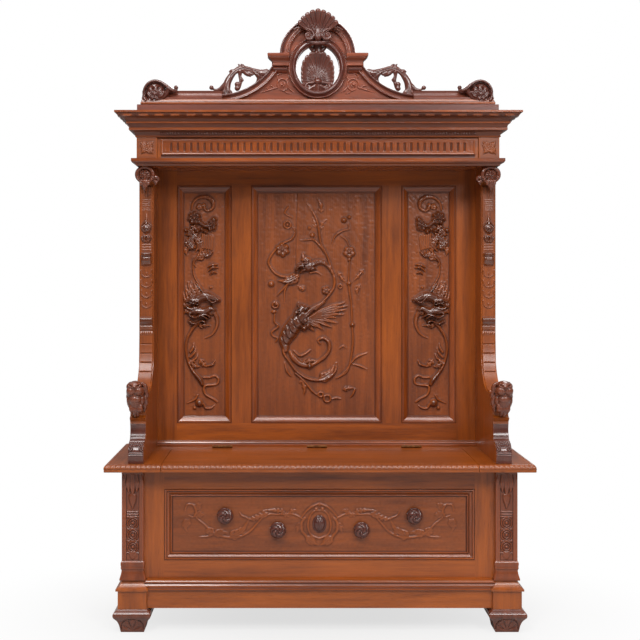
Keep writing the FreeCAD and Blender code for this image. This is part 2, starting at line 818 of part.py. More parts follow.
def lion(y_back, z, width, height, depth):
    """A lion's head in the round: mane, brow, muzzle and ears, carved flat where it meets the wing."""
    radius = width / 2
    face_radius = radius * face_share
    mane = capsule(wing_x, y_back - depth * mane_set_share, z, "z", radius, max(height, width + ear_radius))
    face = capsule(wing_x, y_back - depth * face_set_share, z + height * face_lift_share, "z", face_radius,
                   max(height * face_share, 2 * face_radius + ear_radius))
    muzzle_radius = radius * muzzle_share
    muzzle_length = depth * face_set_share + 2 * muzzle_radius
    muzzle = capsule(wing_x, y_back - depth + muzzle_length / 2, z - height * face_lift_share, "y",
                     muzzle_radius, muzzle_length)
    head = joined([mane, face, muzzle])
    for side in (-1, 1):
        ear = Part.makeSphere(ear_radius, Vector(
            wing_x + side * (radius - ear_radius), y_back - depth * face_set_share,
            z + height / 2 - ear_radius * 1.5))
        head = joined([head, ear])
    # A head that is wider than it is tall is trimmed flat above and below
    reach = height / 2 if height < width else height
    limit = block(wing_x - width, wing_x + width, y_back - 2 * depth, y_back, z - reach, z + reach)
    return head.common(limit)


def lions():
    """Heads at the front of the arms and under the corners of the cornice."""
    arm_face_y = arm_point(arm_head_seat_shares[-1], seat_top, arm_height)[0]
    low = lion(arm_face_y, seat_top + arm_lion_rise, arm_lion_width, arm_lion_height, arm_lion_depth)
    depth = wing_upper_y - frieze_y
    high = lion(wing_upper_y, wing_top - cornice_lion_drop, cornice_lion_width,
                cornice_lion_height, depth)
    return {
        "arm_lions": pair(low),
        "cornice_lions": pair(high),
    }


def panelled_back():
    """Stiles, muntins, rails, three carved panels and their mitred mouldings."""
    y0, y1 = back_face_y, back_frame_back_y
    z0, z1 = back_opening_z, back_opening_top
    openings = [
        (-side_opening_x1, -side_opening_x0),
        (-back_center_half_width, back_center_half_width),
        (side_opening_x0, side_opening_x1),
    ]
    bounds = [
        (a - groove_depth, b + groove_depth, back_panel_y, back_panel_y + back_panel_thickness,
         z0 - groove_depth, z1 + groove_depth)
        for a, b in openings
    ]
    rooms = [grown(*b) for b in bounds]
    bottom_rail = tenoned_rail(-side_opening_x1, side_opening_x1, y0, y1, seat_top, z0)
    top_rail = tenoned_rail(-side_opening_x1, side_opening_x1, y0, y1, z1, back_top)
    stile = block(side_opening_x1, back_outer_x, y0, y1, seat_top, back_top)
    muntin = block(back_center_half_width, side_opening_x0, y0, y1, z0, z1)
    mouldings = []
    start, steps = framed_panel_profile(back_moulding_width, panel_setback + moulding_proud)
    for a, b in openings:
        mouldings.append(mitred_frame(a, b, z0, z1, back_panel_y, start, steps, back_moulding_width))
    left, centre, right = [[block(*b)] for b in bounds]
    rise, out = back_base_moulding_height, back_base_moulding_projection
    foot = prism(
        "yz", -back_outer_x, back_outer_x, (back_face_y, seat_top),
        ((back_face_y - out, seat_top), (back_face_y - out, seat_top + rise / 3),
         ((back_face_y - out * 0.75, seat_top + rise * 0.75), (back_face_y - out / 4, seat_top + rise)),
         (back_face_y, seat_top + rise)))
    return {
        "back_stiles": pair(with_sockets(stile, [bottom_rail, top_rail, rooms[2]])),
        "back_muntins": pair(with_sockets(muntin, rooms[1:])),
        "back_bottom_rail": [with_sockets(bottom_rail, rooms)],
        "back_top_rail": [with_sockets(top_rail, rooms)],
        "back_side_panels": left + right,
        "back_centre_panel": centre,
        "back_side_mouldings": mouldings[0] + mouldings[2],
        "back_centre_moulding": mouldings[1],
        "back_base_moulding": [foot],
    }


def flute(x, z):
    """One upright flute with round ends, sunk into the face of the band."""
    y0 = frieze_y + frieze_block_proud - flute_band_thickness
    radius = flute_width / 2
    straight = flute_height / 2 - radius
    slot = block(x - radius, x + radius, y0 - cut_overrun, y0 + flute_depth, z - straight, z + straight)
    ends = [
        Part.makeCylinder(radius, cut_overrun + flute_depth, Vector(x, y0 - cut_overrun, z + up),
                          Vector(0, 1, 0))
        for up in (-straight, straight)
    ]
    return joined([slot] + ends)


def entablature():
    """Frieze with its fluted band, corner blocks, architrave moulding, soffit and crown."""
    board_y = frieze_y + frieze_block_proud
    inner_block_x = frieze_block_inner_x
    board_back_y = board_y + frieze_thickness
    block_piece = block(inner_block_x, wing_outer_x, frieze_y, board_back_y, frieze_z, frieze_top)
    board = block(-inner_block_x, inner_block_x, board_y, board_back_y, frieze_z, frieze_top)
    side = block(wing_outer_x - frieze_thickness, wing_outer_x, board_back_y, back_y, frieze_z, frieze_top)
    band_z = frieze_z + flute_band_rise
    band = block(-flute_band_half_width, flute_band_half_width, board_y - flute_band_thickness, board_y,
                 band_z, band_z + flute_band_height)
    first_x = flute_end_margin - flute_band_half_width
    pitch = -2 * first_x / (flute_count - 1)
    flutes = [flute(first_x + i * pitch, band_z + flute_band_height / 2) for i in range(flute_count)]
    band = band.cut(Part.makeCompound(flutes))
    soffit_x = wing_outer_x - frieze_thickness
    soffit = block(-soffit_x, soffit_x, board_back_y, back_y, frieze_z, frieze_z + soffit_thickness)
    out, rise = architrave_projection, architrave_height
    steps = ((0, rise), (out, rise), (out, rise - architrave_fillet),
             ((out * 0.45, rise * 0.45), (out * 0.2, 0)))
    architrave = mitred_returns(wing_outer_x, frieze_y, back_y, frieze_z, (0, 0), steps,
                                architrave_projection + cut_overrun)
    between = block(-inner_block_x, inner_block_x, frieze_y, board_y, frieze_z, frieze_z + rise)
    architrave[0] = joined([architrave[0], between])

    def share(point):
        return (point[0] * crown_projection, point[1] * crown_height)
    cove = [share(p) for p in crown_cove_shares]
    corona = [share(p) for p in crown_corona_shares]
    cyma = [share(p) for p in crown_cyma_shares]
    top = [share(p) for p in crown_top_shares]
    crown_steps = [
        cove[0], (cove[1], cove[2]), corona[0], corona[1], (cyma[0], cyma[1]), cyma[2], cyma[3],
        (top[0], top[1]), top[2], top[3], (-crown_wall, crown_height),
    ]
    crown = mitred_returns(wing_outer_x, frieze_y, back_y, frieze_top, (-crown_wall, 0), crown_steps,
                           crown_projection + crown_height)
    inner_x = wing_outer_x - crown_wall
    top_board = block(-inner_x, inner_x, frieze_y + crown_wall, back_y,
                      crown_top - top_board_thickness, crown_top)
    return {
        "frieze_boards": [board] + pair(side),
        "frieze_fluted_band": [band],
        "frieze_corner_blocks": pair(block_piece),
        "architrave_moulding": architrave,
        "crown_moulding": crown,
        "cornice_boards": [soffit, top_board],
    }


def fan(x, y0, y1, z, half_width, height, lobes, start_deg):
    """A scallop shell: lobes of equal angle spread from a hub, each ending in a round scallop."""
    sweep = math.radians(180.0 - 2 * start_deg)
    points = []
    for i in range(lobes + 1):
        angle = math.radians(start_deg) + sweep * i / lobes
        points.append((x + half_width * math.cos(angle), z + height * math.sin(angle)))
    scallop_share = 0.055
    steps = []
    for i in range(lobes):
        a, b = points[i], points[i + 1]
        angle = math.radians(start_deg) + sweep * (i + 0.5) / lobes
        bulge = 1 + scallop_share
        middle = (x + half_width * bulge * math.cos(angle), z + height * bulge * math.sin(angle))
        steps.append((middle, b))
    steps.append((x, z))
    return prism("xz", y0, y1, points[0], steps)


def swan_neck_curve(offset):
    """Points of the swan neck's upper edge, from the ear down to its foot, moved down by an offset."""
    x0, z0 = crest_ear_bottom_half_width - offset / 2, ear_z - offset
    x1, z1 = crest_foot_half_width - offset, crest_panel_z + swan_neck_foot_height - offset / 2
    across, up = swan_neck_middle_shares
    middle = (x0 + (x1 - x0) * across, z1 + (z0 - z1) * up)
    return (x0, z0), middle, (x1, z1)


def ring_wire(half_width, half_height, y):
    """An upright oval."""
    ellipse = Part.Ellipse(Vector(0, 0, 0), max(half_width, half_height), min(half_width, half_height))
    wire = Part.Wire([ellipse.toShape()])
    wire.rotate(Vector(0, 0, 0), Vector(0, 0, 1), 90)
    wire.rotate(Vector(0, 0, 0), Vector(1, 0, 0), 90)
    wire.translate(Vector(0, y, ring_z))
    return wire


def crest():
    """Plinth, nosing, pierced board, ring, arch, ears, swan necks, shells, leaf scrolls and end volutes."""
    y, back = crest_board_y, crest_board_y + crest_board_thickness
    base = block(-wing_outer_x, wing_outer_x, crest_plinth_y, crest_plinth_y + crest_plinth_depth,
                 crown_top, crest_z)
    nose_y = y - crest_nosing_depth + crest_plinth_setback
    nosing = block(-crest_half_width, crest_half_width, nose_y, y, crest_z, crest_panel_z)
    nosing = rounded_edges(nosing, crest_nosing_height * 0.4,
                           lambda m, e: abs(m.y - nose_y) < joint_clearance and abs(m.x) < joint_clearance)
    rail_z = crest_panel_z + crest_end_rail_height
    low_y, high_y = nose_y + crest_plinth_setback, y
    end_rail = prism(
        "yz", crest_foot_half_width, crest_half_width, (low_y, crest_panel_z),
        ((low_y, crest_panel_z + crest_end_rail_height / 6),
         (((low_y + high_y) / 2 + crest_plinth_setback / 4, crest_panel_z + crest_end_rail_height / 3),
          (high_y - crest_plinth_setback / 2, rail_z)),
         (back, rail_z), (back, crest_panel_z), ))
    ears_x = crest_ear_bottom_half_width
    top_start, top_middle, top_end = swan_neck_curve(0)
    board = prism(
        "xz", y, back, (-crest_half_width + crest_end_rail_height, crest_z),
        ((crest_half_width - crest_end_rail_height, crest_z),
         (crest_half_width - crest_end_rail_height, crest_panel_z), (top_end[0], crest_panel_z), top_end,
         (top_middle, top_start), (ears_x, ear_top), (-ears_x, ear_top), (-top_start[0], top_start[1]),
         ((-top_middle[0], top_middle[1]), (-top_end[0], top_end[1])),
         (-top_end[0], crest_panel_z), (-crest_half_width + crest_end_rail_height, crest_panel_z)))
    arch = Part.makeCylinder(crest_arch_radius, crest_board_thickness, Vector(0, y, arch_z), Vector(0, 1, 0))
    board = joined([board, arch])
    ring_face_y = y - crest_ring_projection
    oval = Part.Face(ring_wire(crest_ring_half_width, crest_ring_half_height, ring_face_y - cut_overrun))
    hole = oval.extrude(Vector(0, crest_ring_projection + crest_board_thickness + 2 * cut_overrun, 0))
    board = board.cut(hole)
    outer = Part.Face(ring_wire(crest_ring_half_width + crest_ring_band,
                                crest_ring_half_height + crest_ring_band, ring_face_y))
    ring = outer.extrude(Vector(0, crest_ring_projection, 0)).cut(hole)
    ring = rounded_edges(ring, crest_ring_projection * 0.45,
                         lambda m, e: abs(m.y - ring_face_y) < joint_clearance)
    arch_ring = Part.makeCylinder(crest_arch_radius + crest_arch_lip, crest_arch_projection,
                                  Vector(0, y, arch_z), Vector(0, -1, 0))
    arch_ring = arch_ring.cut(Part.makeCylinder(
        crest_arch_radius - crest_arch_band, crest_arch_projection + cut_overrun,
        Vector(0, y + cut_overrun / 2, arch_z), Vector(0, -1, 0)))
    arch_ring = arch_ring.common(block(-half_seat, half_seat, front_y, back_y, ear_top, ear_top + half_seat))
    ring = ring.cut(arch_ring)
    ear_y = y - crest_ear_projection
    ear_out = crest_ear_half_width - crest_ear_bottom_half_width
    cut_inner = crest_ring_half_width + crest_ring_band
    ear = prism(
        "xz", ear_y, y, (cut_inner, ear_z),
        ((ears_x, ear_z), (ears_x, ear_z + crest_ear_height * 0.3),
         ((ears_x + ear_out * 0.3, ear_z + crest_ear_height * 0.6),
          (ears_x + ear_out, ear_z + crest_ear_height * 0.8)),
         (ears_x + ear_out, ear_top), (cut_inner, ear_top)))
    low = swan_neck_curve(0)
    inner_low = swan_neck_curve(swan_neck_band)
    neck = prism(
        "xz", y - swan_neck_projection, y, low[0],
        ((low[1], low[2]), (low[2][0], crest_panel_z), (inner_low[2][0] - swan_neck_band, crest_panel_z),
         inner_low[2], (inner_low[1], inner_low[0]), (inner_low[0][0], ear_z)))
    shell_z = ring_z + crest_ring_half_height + crest_ring_band - shell_lap
    shell_y = y - max(crest_arch_projection, crest_ring_projection)
    fan_piece = fan(0, shell_y - shell_thickness, shell_y, shell_z, shell_half_width, shell_height,
                    shell_lobe_count, shell_start_deg)
    tongue = Part.makeCylinder(shell_tongue, shell_thickness, Vector(0, shell_y, shell_z), Vector(0, -1, 0))
    volutes = [
        Part.makeCylinder(volute_radius, shell_thickness, Vector(side * volute_offset, shell_y, shell_z),
                          Vector(0, -1, 0))
        for side in (-1, 1)
    ]
    bridge = block(-volute_offset, volute_offset, shell_y - shell_thickness, shell_y, shell_z,
                   shell_z + volute_radius)
    top_shell = joined([fan_piece, bridge, tongue] + volutes)
    centre_z = ring_z - inner_shell_drop
    inner_y = y + (crest_board_thickness - inner_shell_thickness) / 2
    rim = inner_shell_radius
    inner_start_deg = -52.0
    inner = fan(0, inner_y, inner_y + inner_shell_thickness, centre_z, rim, rim * 1.08,
                inner_shell_lobe_count, inner_start_deg)
    stem_top = ring_z + crest_ring_half_height + crest_ring_band
    stem = block(-inner_shell_stem_width / 2, inner_shell_stem_width / 2, inner_y,
                 inner_y + inner_shell_thickness, centre_z, stem_top)
    foot_z = ring_z - crest_ring_half_height - crest_ring_band
    shell_foot = block(-inner_shell_foot_width / 2, inner_shell_foot_width / 2, inner_y,
                       inner_y + inner_shell_thickness, foot_z, centre_z)
    inner = joined([inner, stem, shell_foot]).common(hole)

    def scroll_at(point):
        return (ears_x + point[0] * scroll_width, crest_panel_z + point[1] * scroll_height)
    outer_points = [scroll_at(p) for p in scroll_outer_shares]
    near = [scroll_at(p) for p in scroll_near_gap_shares]
    far = [scroll_at(p) for p in scroll_far_gap_shares]
    scroll_y = y - scroll_thickness * 0.2
    leaf = prism("xz", scroll_y, scroll_y + scroll_thickness, outer_points[0], outer_points[1:])
    for gap in (near, far):
        leaf = leaf.cut(prism("xz", scroll_y - cut_overrun, scroll_y + scroll_thickness + cut_overrun,
                              gap[0], gap[1:]))
    leaf = leaf.cut(board).cut(neck).cut(end_rail).cut(ear)
    leaf = max(leaf.Solids, key=lambda s: s.Volume)
    end_volute_x = crest_half_width - end_volute_inset
    volute_y = y - end_volute_thickness * 0.6
    volute_z = rail_z
    disc = Part.makeCylinder(end_volute_radius, end_volute_thickness,
                             Vector(end_volute_x, volute_y, volute_z), Vector(0, 1, 0))
    tail = prism(
        "xz", volute_y, volute_y + end_volute_thickness, (end_volute_x, volute_z + end_volute_radius),
        (((end_volute_x - end_volute_tail * 0.7, volute_z + end_volute_radius * 0.55),
          (end_volute_x - end_volute_tail, volute_z)), (end_volute_x, volute_z)))
    ball_centre = Vector(end_volute_x - end_volute_tail, volute_y, volute_z + end_volute_ball_radius)
    ball = Part.makeCylinder(end_volute_ball_radius, end_volute_thickness, ball_centre, Vector(0, 1, 0))
    volute = joined([disc, tail, ball]).common(block(
        0, half_seat, front_y, back_y, crest_panel_z, crest_panel_z + half_seat))
    volute = volute.cut(end_rail).cut(board)
    volute = max(volute.Solids, key=lambda s: s.Volume)
    brace = prism(
        "yz", crest_brace_x - crest_brace_thickness / 2, crest_brace_x + crest_brace_thickness / 2,
        (back, crest_z), ((back + crest_brace_depth, crest_z), (back, crest_z + crest_brace_height)))
    return {
        "crest_plinth": [base],
        "crest_nosing": [nosing],
        "crest_end_rails": pair(end_rail.cut(board)),
        "crest_board": [board],
        "crest_ring": [ring],
        "crest_arch_and_ears": [joined([arch_ring, ear.cut(ring), mirror(ear.cut(ring))])],
        "crest_swan_necks": pair(neck.cut(ring)),
        "crest_top_shell": [top_shell],
        "crest_inner_shell": [inner],
        "crest_leaf_scrolls": pair(leaf),
        "crest_end_volutes": pair(volute),
        "crest_braces": pair(brace),
    }


def export(nodes):
    """Writes one STEP file for each named piece, or group of like pieces."""
    os.makedirs("parts", exist_ok=True)
    for name, shapes in sorted(nodes.items()):
        solids = [s for shape in shapes for s in shape.Solids]
        bad = [s for s in solids if not s.isValid() or s.Volume <= 0]
        print(f"{name}: {len(solids)} solid(s), {sum(s.Volume for s in solids) / 1e6:.3f} l, bad {len(bad)}")
        whole = solids[0] if len(solids) == 1 else Part.makeCompound(solids)
        whole.exportStep(os.path.join("parts", name + ".step"))
    print(len(nodes), "nodes")


bench = {}
for group in (plinth, chest_body, chest_front, seat, wings, lions, panelled_back, entablature, crest):
    bench.update(group())
export(bench)
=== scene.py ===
# %% [markdown]
# A carved walnut hall bench. The joined frame comes first, just as the joiner made it: the carcase, the
# lid, the back and the cornice arrive with their real sizes and stay where they are. This lesson dresses
# that frame: it polishes the wood, carves the panels and posts, and puts the lions and shells on.

import math

import bmesh
import bpy
import numpy as np
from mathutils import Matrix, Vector


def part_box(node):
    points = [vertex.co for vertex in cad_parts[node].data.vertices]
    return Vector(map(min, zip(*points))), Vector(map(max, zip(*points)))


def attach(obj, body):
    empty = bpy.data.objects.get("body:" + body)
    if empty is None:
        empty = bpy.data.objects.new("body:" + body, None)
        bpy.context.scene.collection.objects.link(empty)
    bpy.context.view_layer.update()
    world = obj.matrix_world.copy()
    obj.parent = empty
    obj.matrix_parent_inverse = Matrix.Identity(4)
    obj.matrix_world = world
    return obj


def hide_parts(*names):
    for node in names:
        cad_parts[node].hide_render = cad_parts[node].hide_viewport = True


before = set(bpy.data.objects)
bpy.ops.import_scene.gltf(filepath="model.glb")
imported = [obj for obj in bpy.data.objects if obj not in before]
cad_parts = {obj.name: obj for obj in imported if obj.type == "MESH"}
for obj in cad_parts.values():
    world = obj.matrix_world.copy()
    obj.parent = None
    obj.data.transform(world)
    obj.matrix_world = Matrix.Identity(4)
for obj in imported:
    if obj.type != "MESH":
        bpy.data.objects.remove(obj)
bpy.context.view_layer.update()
scene = bpy.context.scene
MM = 0.001
SIDES = ((-1, "left"), (1, "right"))


def box(node):
    """The low and the high corner of a joined piece, in millimetres."""
    return [np.array(corner, float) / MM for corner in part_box(node)]


# %% [markdown]
# The camera stands a little left of the middle, at chest height, and looks square at the bench, so all
# upright lines stay upright. The picture is framed by shifting the lens, as an architectural
# photographer does, and not by tilting it.

# %% Camera
IMAGE, FOCAL, CENTRE_X, CENTRE_Y = 640, 1100, 286, 280
lens = bpy.data.cameras.new("camera")
lens.sensor_width = 36
lens.lens = FOCAL / IMAGE * lens.sensor_width
lens.shift_x = (IMAGE / 2 - CENTRE_X) / IMAGE
lens.shift_y = (CENTRE_Y - IMAGE / 2) / IMAGE
camera = bpy.data.objects.new("camera", lens)
camera.location = (-0.108, -3.710, 1.129)
camera.rotation_euler = (math.pi / 2, 0, 0)
scene.collection.objects.link(camera)
scene.camera = camera
print("lens", round(lens.lens, 2), "mm")

# %% [markdown]
# Polished wood is lit the way furniture is photographed: two large soft sources high in front, the left
# one a little stronger, a long strip overhead that lights the upper edge of every moulding, and another
# strip behind. Nothing bright stands straight in front, where flat polished boards would mirror it as a
# grey veil.

# %% Studio
def lamp(name, place, target, size, power):
    data = bpy.data.lights.new(name, "AREA")
    data.shape = "RECTANGLE"
    data.size, data.size_y = size
    data.energy = power
    made = bpy.data.objects.new(name, data)
    made.location = place
    made.rotation_euler = (Vector(target) - Vector(place)).to_track_quat("-Z", "Y").to_euler()
    scene.collection.objects.link(made)


lamp("key", (-1.2, -3.4, 3.8), (0, 0, 1.0), (1.2, 1.2), 94)
lamp("fill", (1.7, -3.5, 3.0), (0, 0, 1.0), (1.2, 1.2), 72)
lamp("overhead", (-0.2, -1.7, 4.1), (0, 0.1, 0.9), (3.0, 0.8), 54)
lamp("rim", (0.6, 2.6, 2.9), (0, 0, 1.3), (2.6, 1.0), 40)
scene.view_settings.view_transform = "Standard"

# %% [markdown]
# Wood is drawn with maths on the place of each point. One small class wraps a socket, so that a mask
# reads as `1 - mask * 0.5`; every such expression adds its nodes to the material. Numbers alone are
# worked out in Python and never become nodes.

# %% A socket that takes part in expressions
class Sock:
    """A socket of a node tree that can be added, multiplied and mixed like a number or a colour."""

    def __init__(self, tree, out):
        self.tree, self.out = tree, out

    def math(self, operation, *values):
        return self.tree.node("ShaderNodeMath", {"operation": operation}, values)

    def __add__(self, other):
        return self.math("ADD", self, other)

    def __mul__(self, other):
        return self.math("MULTIPLY", self, other)

    def __sub__(self, other):
        return self.math("SUBTRACT", self, other)

    def __rsub__(self, other):
        return self.math("SUBTRACT", other, self)

    __radd__, __rmul__ = __add__, __mul__

    def clamp(self):
        return self.tree.node("ShaderNodeClamp", {}, [self, 0.0, 1.0])

    def smooth(self, low, high):
        """0 below low, 1 above high and a soft step between."""
        return self.tree.node("ShaderNodeMapRange", {"interpolation_type": "SMOOTHSTEP"},
                              [self, low, high, 0.0, 1.0])

    def tint(self, first, second):
        """A colour that goes from the first to the second as this value goes from 0 to 1."""
        # the node's colour sockets come after those for numbers and vectors
        return self.tree.node("ShaderNodeMix", {"data_type": "RGBA"}, {0: self, 6: first, 7: second}, 2)


class Nodes:
    """The node tree of a material or of the world."""

    def __init__(self, owner):
        owner.use_nodes = True
        self.owner, self.tree = owner, owner.node_tree
        self.tree.nodes.clear()

    def node(self, kind, settings, values, output=0):
        """Adds a node: its settings first, then a value or a link for each named or numbered socket."""
        made = self.tree.nodes.new(kind)
        for name, value in settings.items():
            setattr(made, name, value)
        for key, value in values.items() if isinstance(values, dict) else enumerate(values):
            socket = made.inputs[key]
            if isinstance(value, Sock):
                self.tree.links.new(value.out, socket)
            else:
                socket.default_value = (*value, 1.0) if socket.type == "RGBA" else value
        return Sock(self, made.outputs[output]) if made.outputs else None

    def ramp(self, value, *stops):
        colour = self.node("ShaderNodeValToRGB", {}, [value])
        elements = colour.out.node.color_ramp.elements
        while len(elements) < len(stops):
            elements.new(0.5)
        for element, (place, shade) in zip(elements, stops):
            element.position, element.color = place, (*shade, 1.0)
        return colour

    def place(self, stretch=(1, 1, 1), offset=(0, 0, 0)):
        """The point's place in metres, stretched along the axes."""
        spot = self.node("ShaderNodeTexCoord", {}, [], "Object")
        return self.node("ShaderNodeMapping", {}, {"Vector": spot, "Scale": stretch, "Location": offset})

    def noise(self, where, scale, detail=3.0, rough=0.5, twist=0.0):
        return self.node("ShaderNodeTexNoise", {}, {"Vector": where, "Scale": scale, "Detail": detail,
                                                    "Roughness": rough, "Distortion": twist})

    def mask(self, name):
        """A number that a piece keeps with its points."""
        return self.node("ShaderNodeAttribute", {"attribute_name": name}, [], "Fac")

    def finish(self, colour, roughness, height, bump, reach, **constants):
        relief = self.node("ShaderNodeBump", {}, {"Strength": bump, "Distance": reach, "Height": height})
        shader = self.node("ShaderNodeBsdfPrincipled", {},
                           {"Base Color": colour, "Roughness": roughness, "Normal": relief, **constants})
        self.node("ShaderNodeOutputMaterial", {}, {"Surface": shader})
        return self.owner


def new_wood(name):
    return Nodes(bpy.data.materials.new(name))


# %% [markdown]
# Old walnut under shellac: long streaks of darker and lighter brown along the grain, fine pores that
# catch dirt, broad patches where the polish has darkened, and a soft gloss that is duller in the pores.
# The grain is a noise squeezed across the board and drawn out along it, so each board is given its own
# direction. Carved pieces also carry three numbers with their points: hollow, worn and proud. The hollows
# are darkened with painted shade as well as old polish and wax, and the rubbed high spots shine.

# %% Walnut
ALONG = {"x": (1.0, 14.0, 14.0), "y": (14.0, 1.0, 14.0), "z": (14.0, 14.0, 1.0)}
GRAIN_OFFSETS = {"x": (0.3, 0.1, 0.7), "y": (0.9, 0.2, 0.4), "z": (0.5, 0.8, 0.2)}


def times(colour, *shares):
    return [part * share for part, share in zip(colour, shares)]


def walnut(name, grain, deep, light, offset, gloss=0.26, shade=0.0, coat=0.12):
    w = new_wood(name)
    where = w.place(ALONG[grain], offset)
    streaks = w.noise(where, 2.6, 5.0, 0.62, 0.35)
    fine = w.noise(where, 17.0, 3.0, 0.6)
    pores = w.noise(w.place([s * (4 if s > 1 else 2.2) for s in ALONG[grain]], offset), 14.0, 2.0, 0.7)
    patches = w.noise(w.place(offset=offset), 3.1, 2.0, 0.5)
    tone = (streaks * 0.68 + fine * 0.20 + patches * 0.30 - 0.12).clamp()
    half_tone = [a * 0.5 + b * 0.5 for a, b in zip(deep, light)]
    colour = w.ramp(tone, (0.28, deep), (0.47, half_tone), (0.68, light))
    pore_mask = pores.smooth(0.60, 0.72)
    colour = (pore_mask * 0.55).tint(colour, times(deep, 0.35, 0.35, 0.35))
    rough = gloss + pore_mask * 0.18 + patches * 0.08
    varnish = coat
    if shade:
        hollow, worn, proud = (w.mask(name) for name in ("hollow", "worn", "proud"))
        colour = (worn * 0.30).tint(colour, times(light, 1.35, 1.35, 1.35))
        colour = (proud * 0.78).tint(colour, times(deep, 0.55, 0.62, 1.1))
        varnish = (proud * 0.6 + coat) * (1.0 - hollow * 0.75)
        # painted shade: the hollows are darkened, as shade and old polish
        colour = (hollow * shade).clamp().tint(colour, times(deep, 0.36, 0.24, 0.22))
        rough = rough + hollow * 0.25 - worn * 0.06 - proud * 0.10
    height = pore_mask * -0.6 + fine * 0.3 + streaks * 0.25
    return w.finish(colour, rough, height, 0.35, 0.0006,
                    **{"Specular IOR Level": 0.5, "Coat Weight": varnish, "Coat Roughness": 0.12})


def woods(word, grains, deep, light, *finish):
    """The same walnut for boards that run in several directions."""
    return {g: walnut(word + g, g, deep, light, GRAIN_OFFSETS[g], *finish) for g in grains}


frame_wood = woods("walnut_", "xyz", (0.125, 0.026, 0.005), (0.400, 0.092, 0.008))
field_wood = woods("field_", "xz", (0.108, 0.024, 0.006), (0.305, 0.071, 0.011), 0.30, 0.55, 0.08)
moulded_wood = woods("moulded_", "xyz", (0.100, 0.020, 0.005), (0.350, 0.078, 0.012), 0.19, 0.78, 0.36)
crest_wood = woods("crest_", "xy", (0.110, 0.026, 0.013), (0.320, 0.078, 0.034), 0.24, 0.7, 0.2)
crest_foot_wood = walnut("crest_foot_walnut", "x", (0.075, 0.016, 0.008), (0.200, 0.046, 0.022),
                         (0.3, 0.7, 0.1), 0.30, 0.7, 0.12)
carved_wood = woods("carved_", "xz", (0.050, 0.012, 0.008), (0.130, 0.034, 0.020), 0.20, 0.85, 0.4)
print(len(bpy.data.materials), "woods")

# %% [markdown]
# The unseen boards are a plainer, unpolished timber: dull, paler and greyed with age.

# %% Secondary timber
def plain_timber():
    w = new_wood("plain_timber")
    streaks = w.noise(w.place(ALONG["x"]), 3.0, 4.0, 0.6, 0.3)
    dust = w.noise(w.place(), 9.0, 3.0, 0.6)
    colour = w.ramp((streaks * 0.8 + dust * 0.25 - 0.05).clamp(),
                    (0.3, (0.115, 0.052, 0.024)), (0.5, (0.20, 0.10, 0.048)), (0.7, (0.30, 0.17, 0.09)))
    return w.finish(colour, 0.62 + dust * 0.2, streaks, 0.4, 0.0008)


timber = plain_timber()

# %% [markdown]
# The hinges and their pins are brass that has gone brown, and the screws are steel with dark slots of
# rust. Both are a metal whose roughness and tint change with a fine noise.

# %% Brass and steel
def old_metal(name, clean, stained, roughness):
    w = new_wood(name)
    rust = w.noise(w.place(), 160.0, 4.0, 0.6).smooth(0.40, 0.66)
    return w.finish(rust.tint(clean, stained), roughness + rust * 0.3, rust, 0.15, 0.0003, Metallic=1.0)


brass = old_metal("old_brass", (0.210, 0.085, 0.030), (0.110, 0.045, 0.018), 0.5)
steel = old_metal("old_steel", (0.42, 0.40, 0.37), (0.13, 0.08, 0.055), 0.38)

# %% [markdown]
# A carver sets out a line and then works along it with gouges. The same is done here: a smooth line runs
# through a few points, and the widths and heights given for it are spread evenly from its start to its end.

# %% Lines
def smooth_line(points, steps=8):
    """Many places on a smooth line through a few points, in the plane or in the room."""
    p = np.asarray(points, float)
    if len(p) == 2:
        return p[0] + (p[1] - p[0]) * np.linspace(0, 1, steps + 1)[:, None]
    lined = np.vstack([2 * p[0] - p[1], p, 2 * p[-1] - p[-2]])
    t = np.linspace(0, 1, steps, endpoint=False)[:, None]
    spans = [0.5 * (2 * b + (c - a) * t + (2 * a - 5 * b + 4 * c - d) * t ** 2 + (3 * b - a - 3 * c + d) * t ** 3)
             for a, b, c, d in zip(lined, lined[1:], lined[2:], lined[3:])]
    return np.vstack(spans + [p[-1:]])


def spread(values, count):
    """A few values drawn out evenly over so many places."""
    values = np.atleast_1d(values)
    return np.interp(np.linspace(0, 1, count), np.linspace(0, 1, len(values)), values)


# %% [markdown]
# Low carving is a surface with a height at every point. The ground of the board is zero and each stem,
# leaf or petal is raised over it; where two meet, the higher one stays, as it does in wood. All lengths
# in a drawing are millimetres.

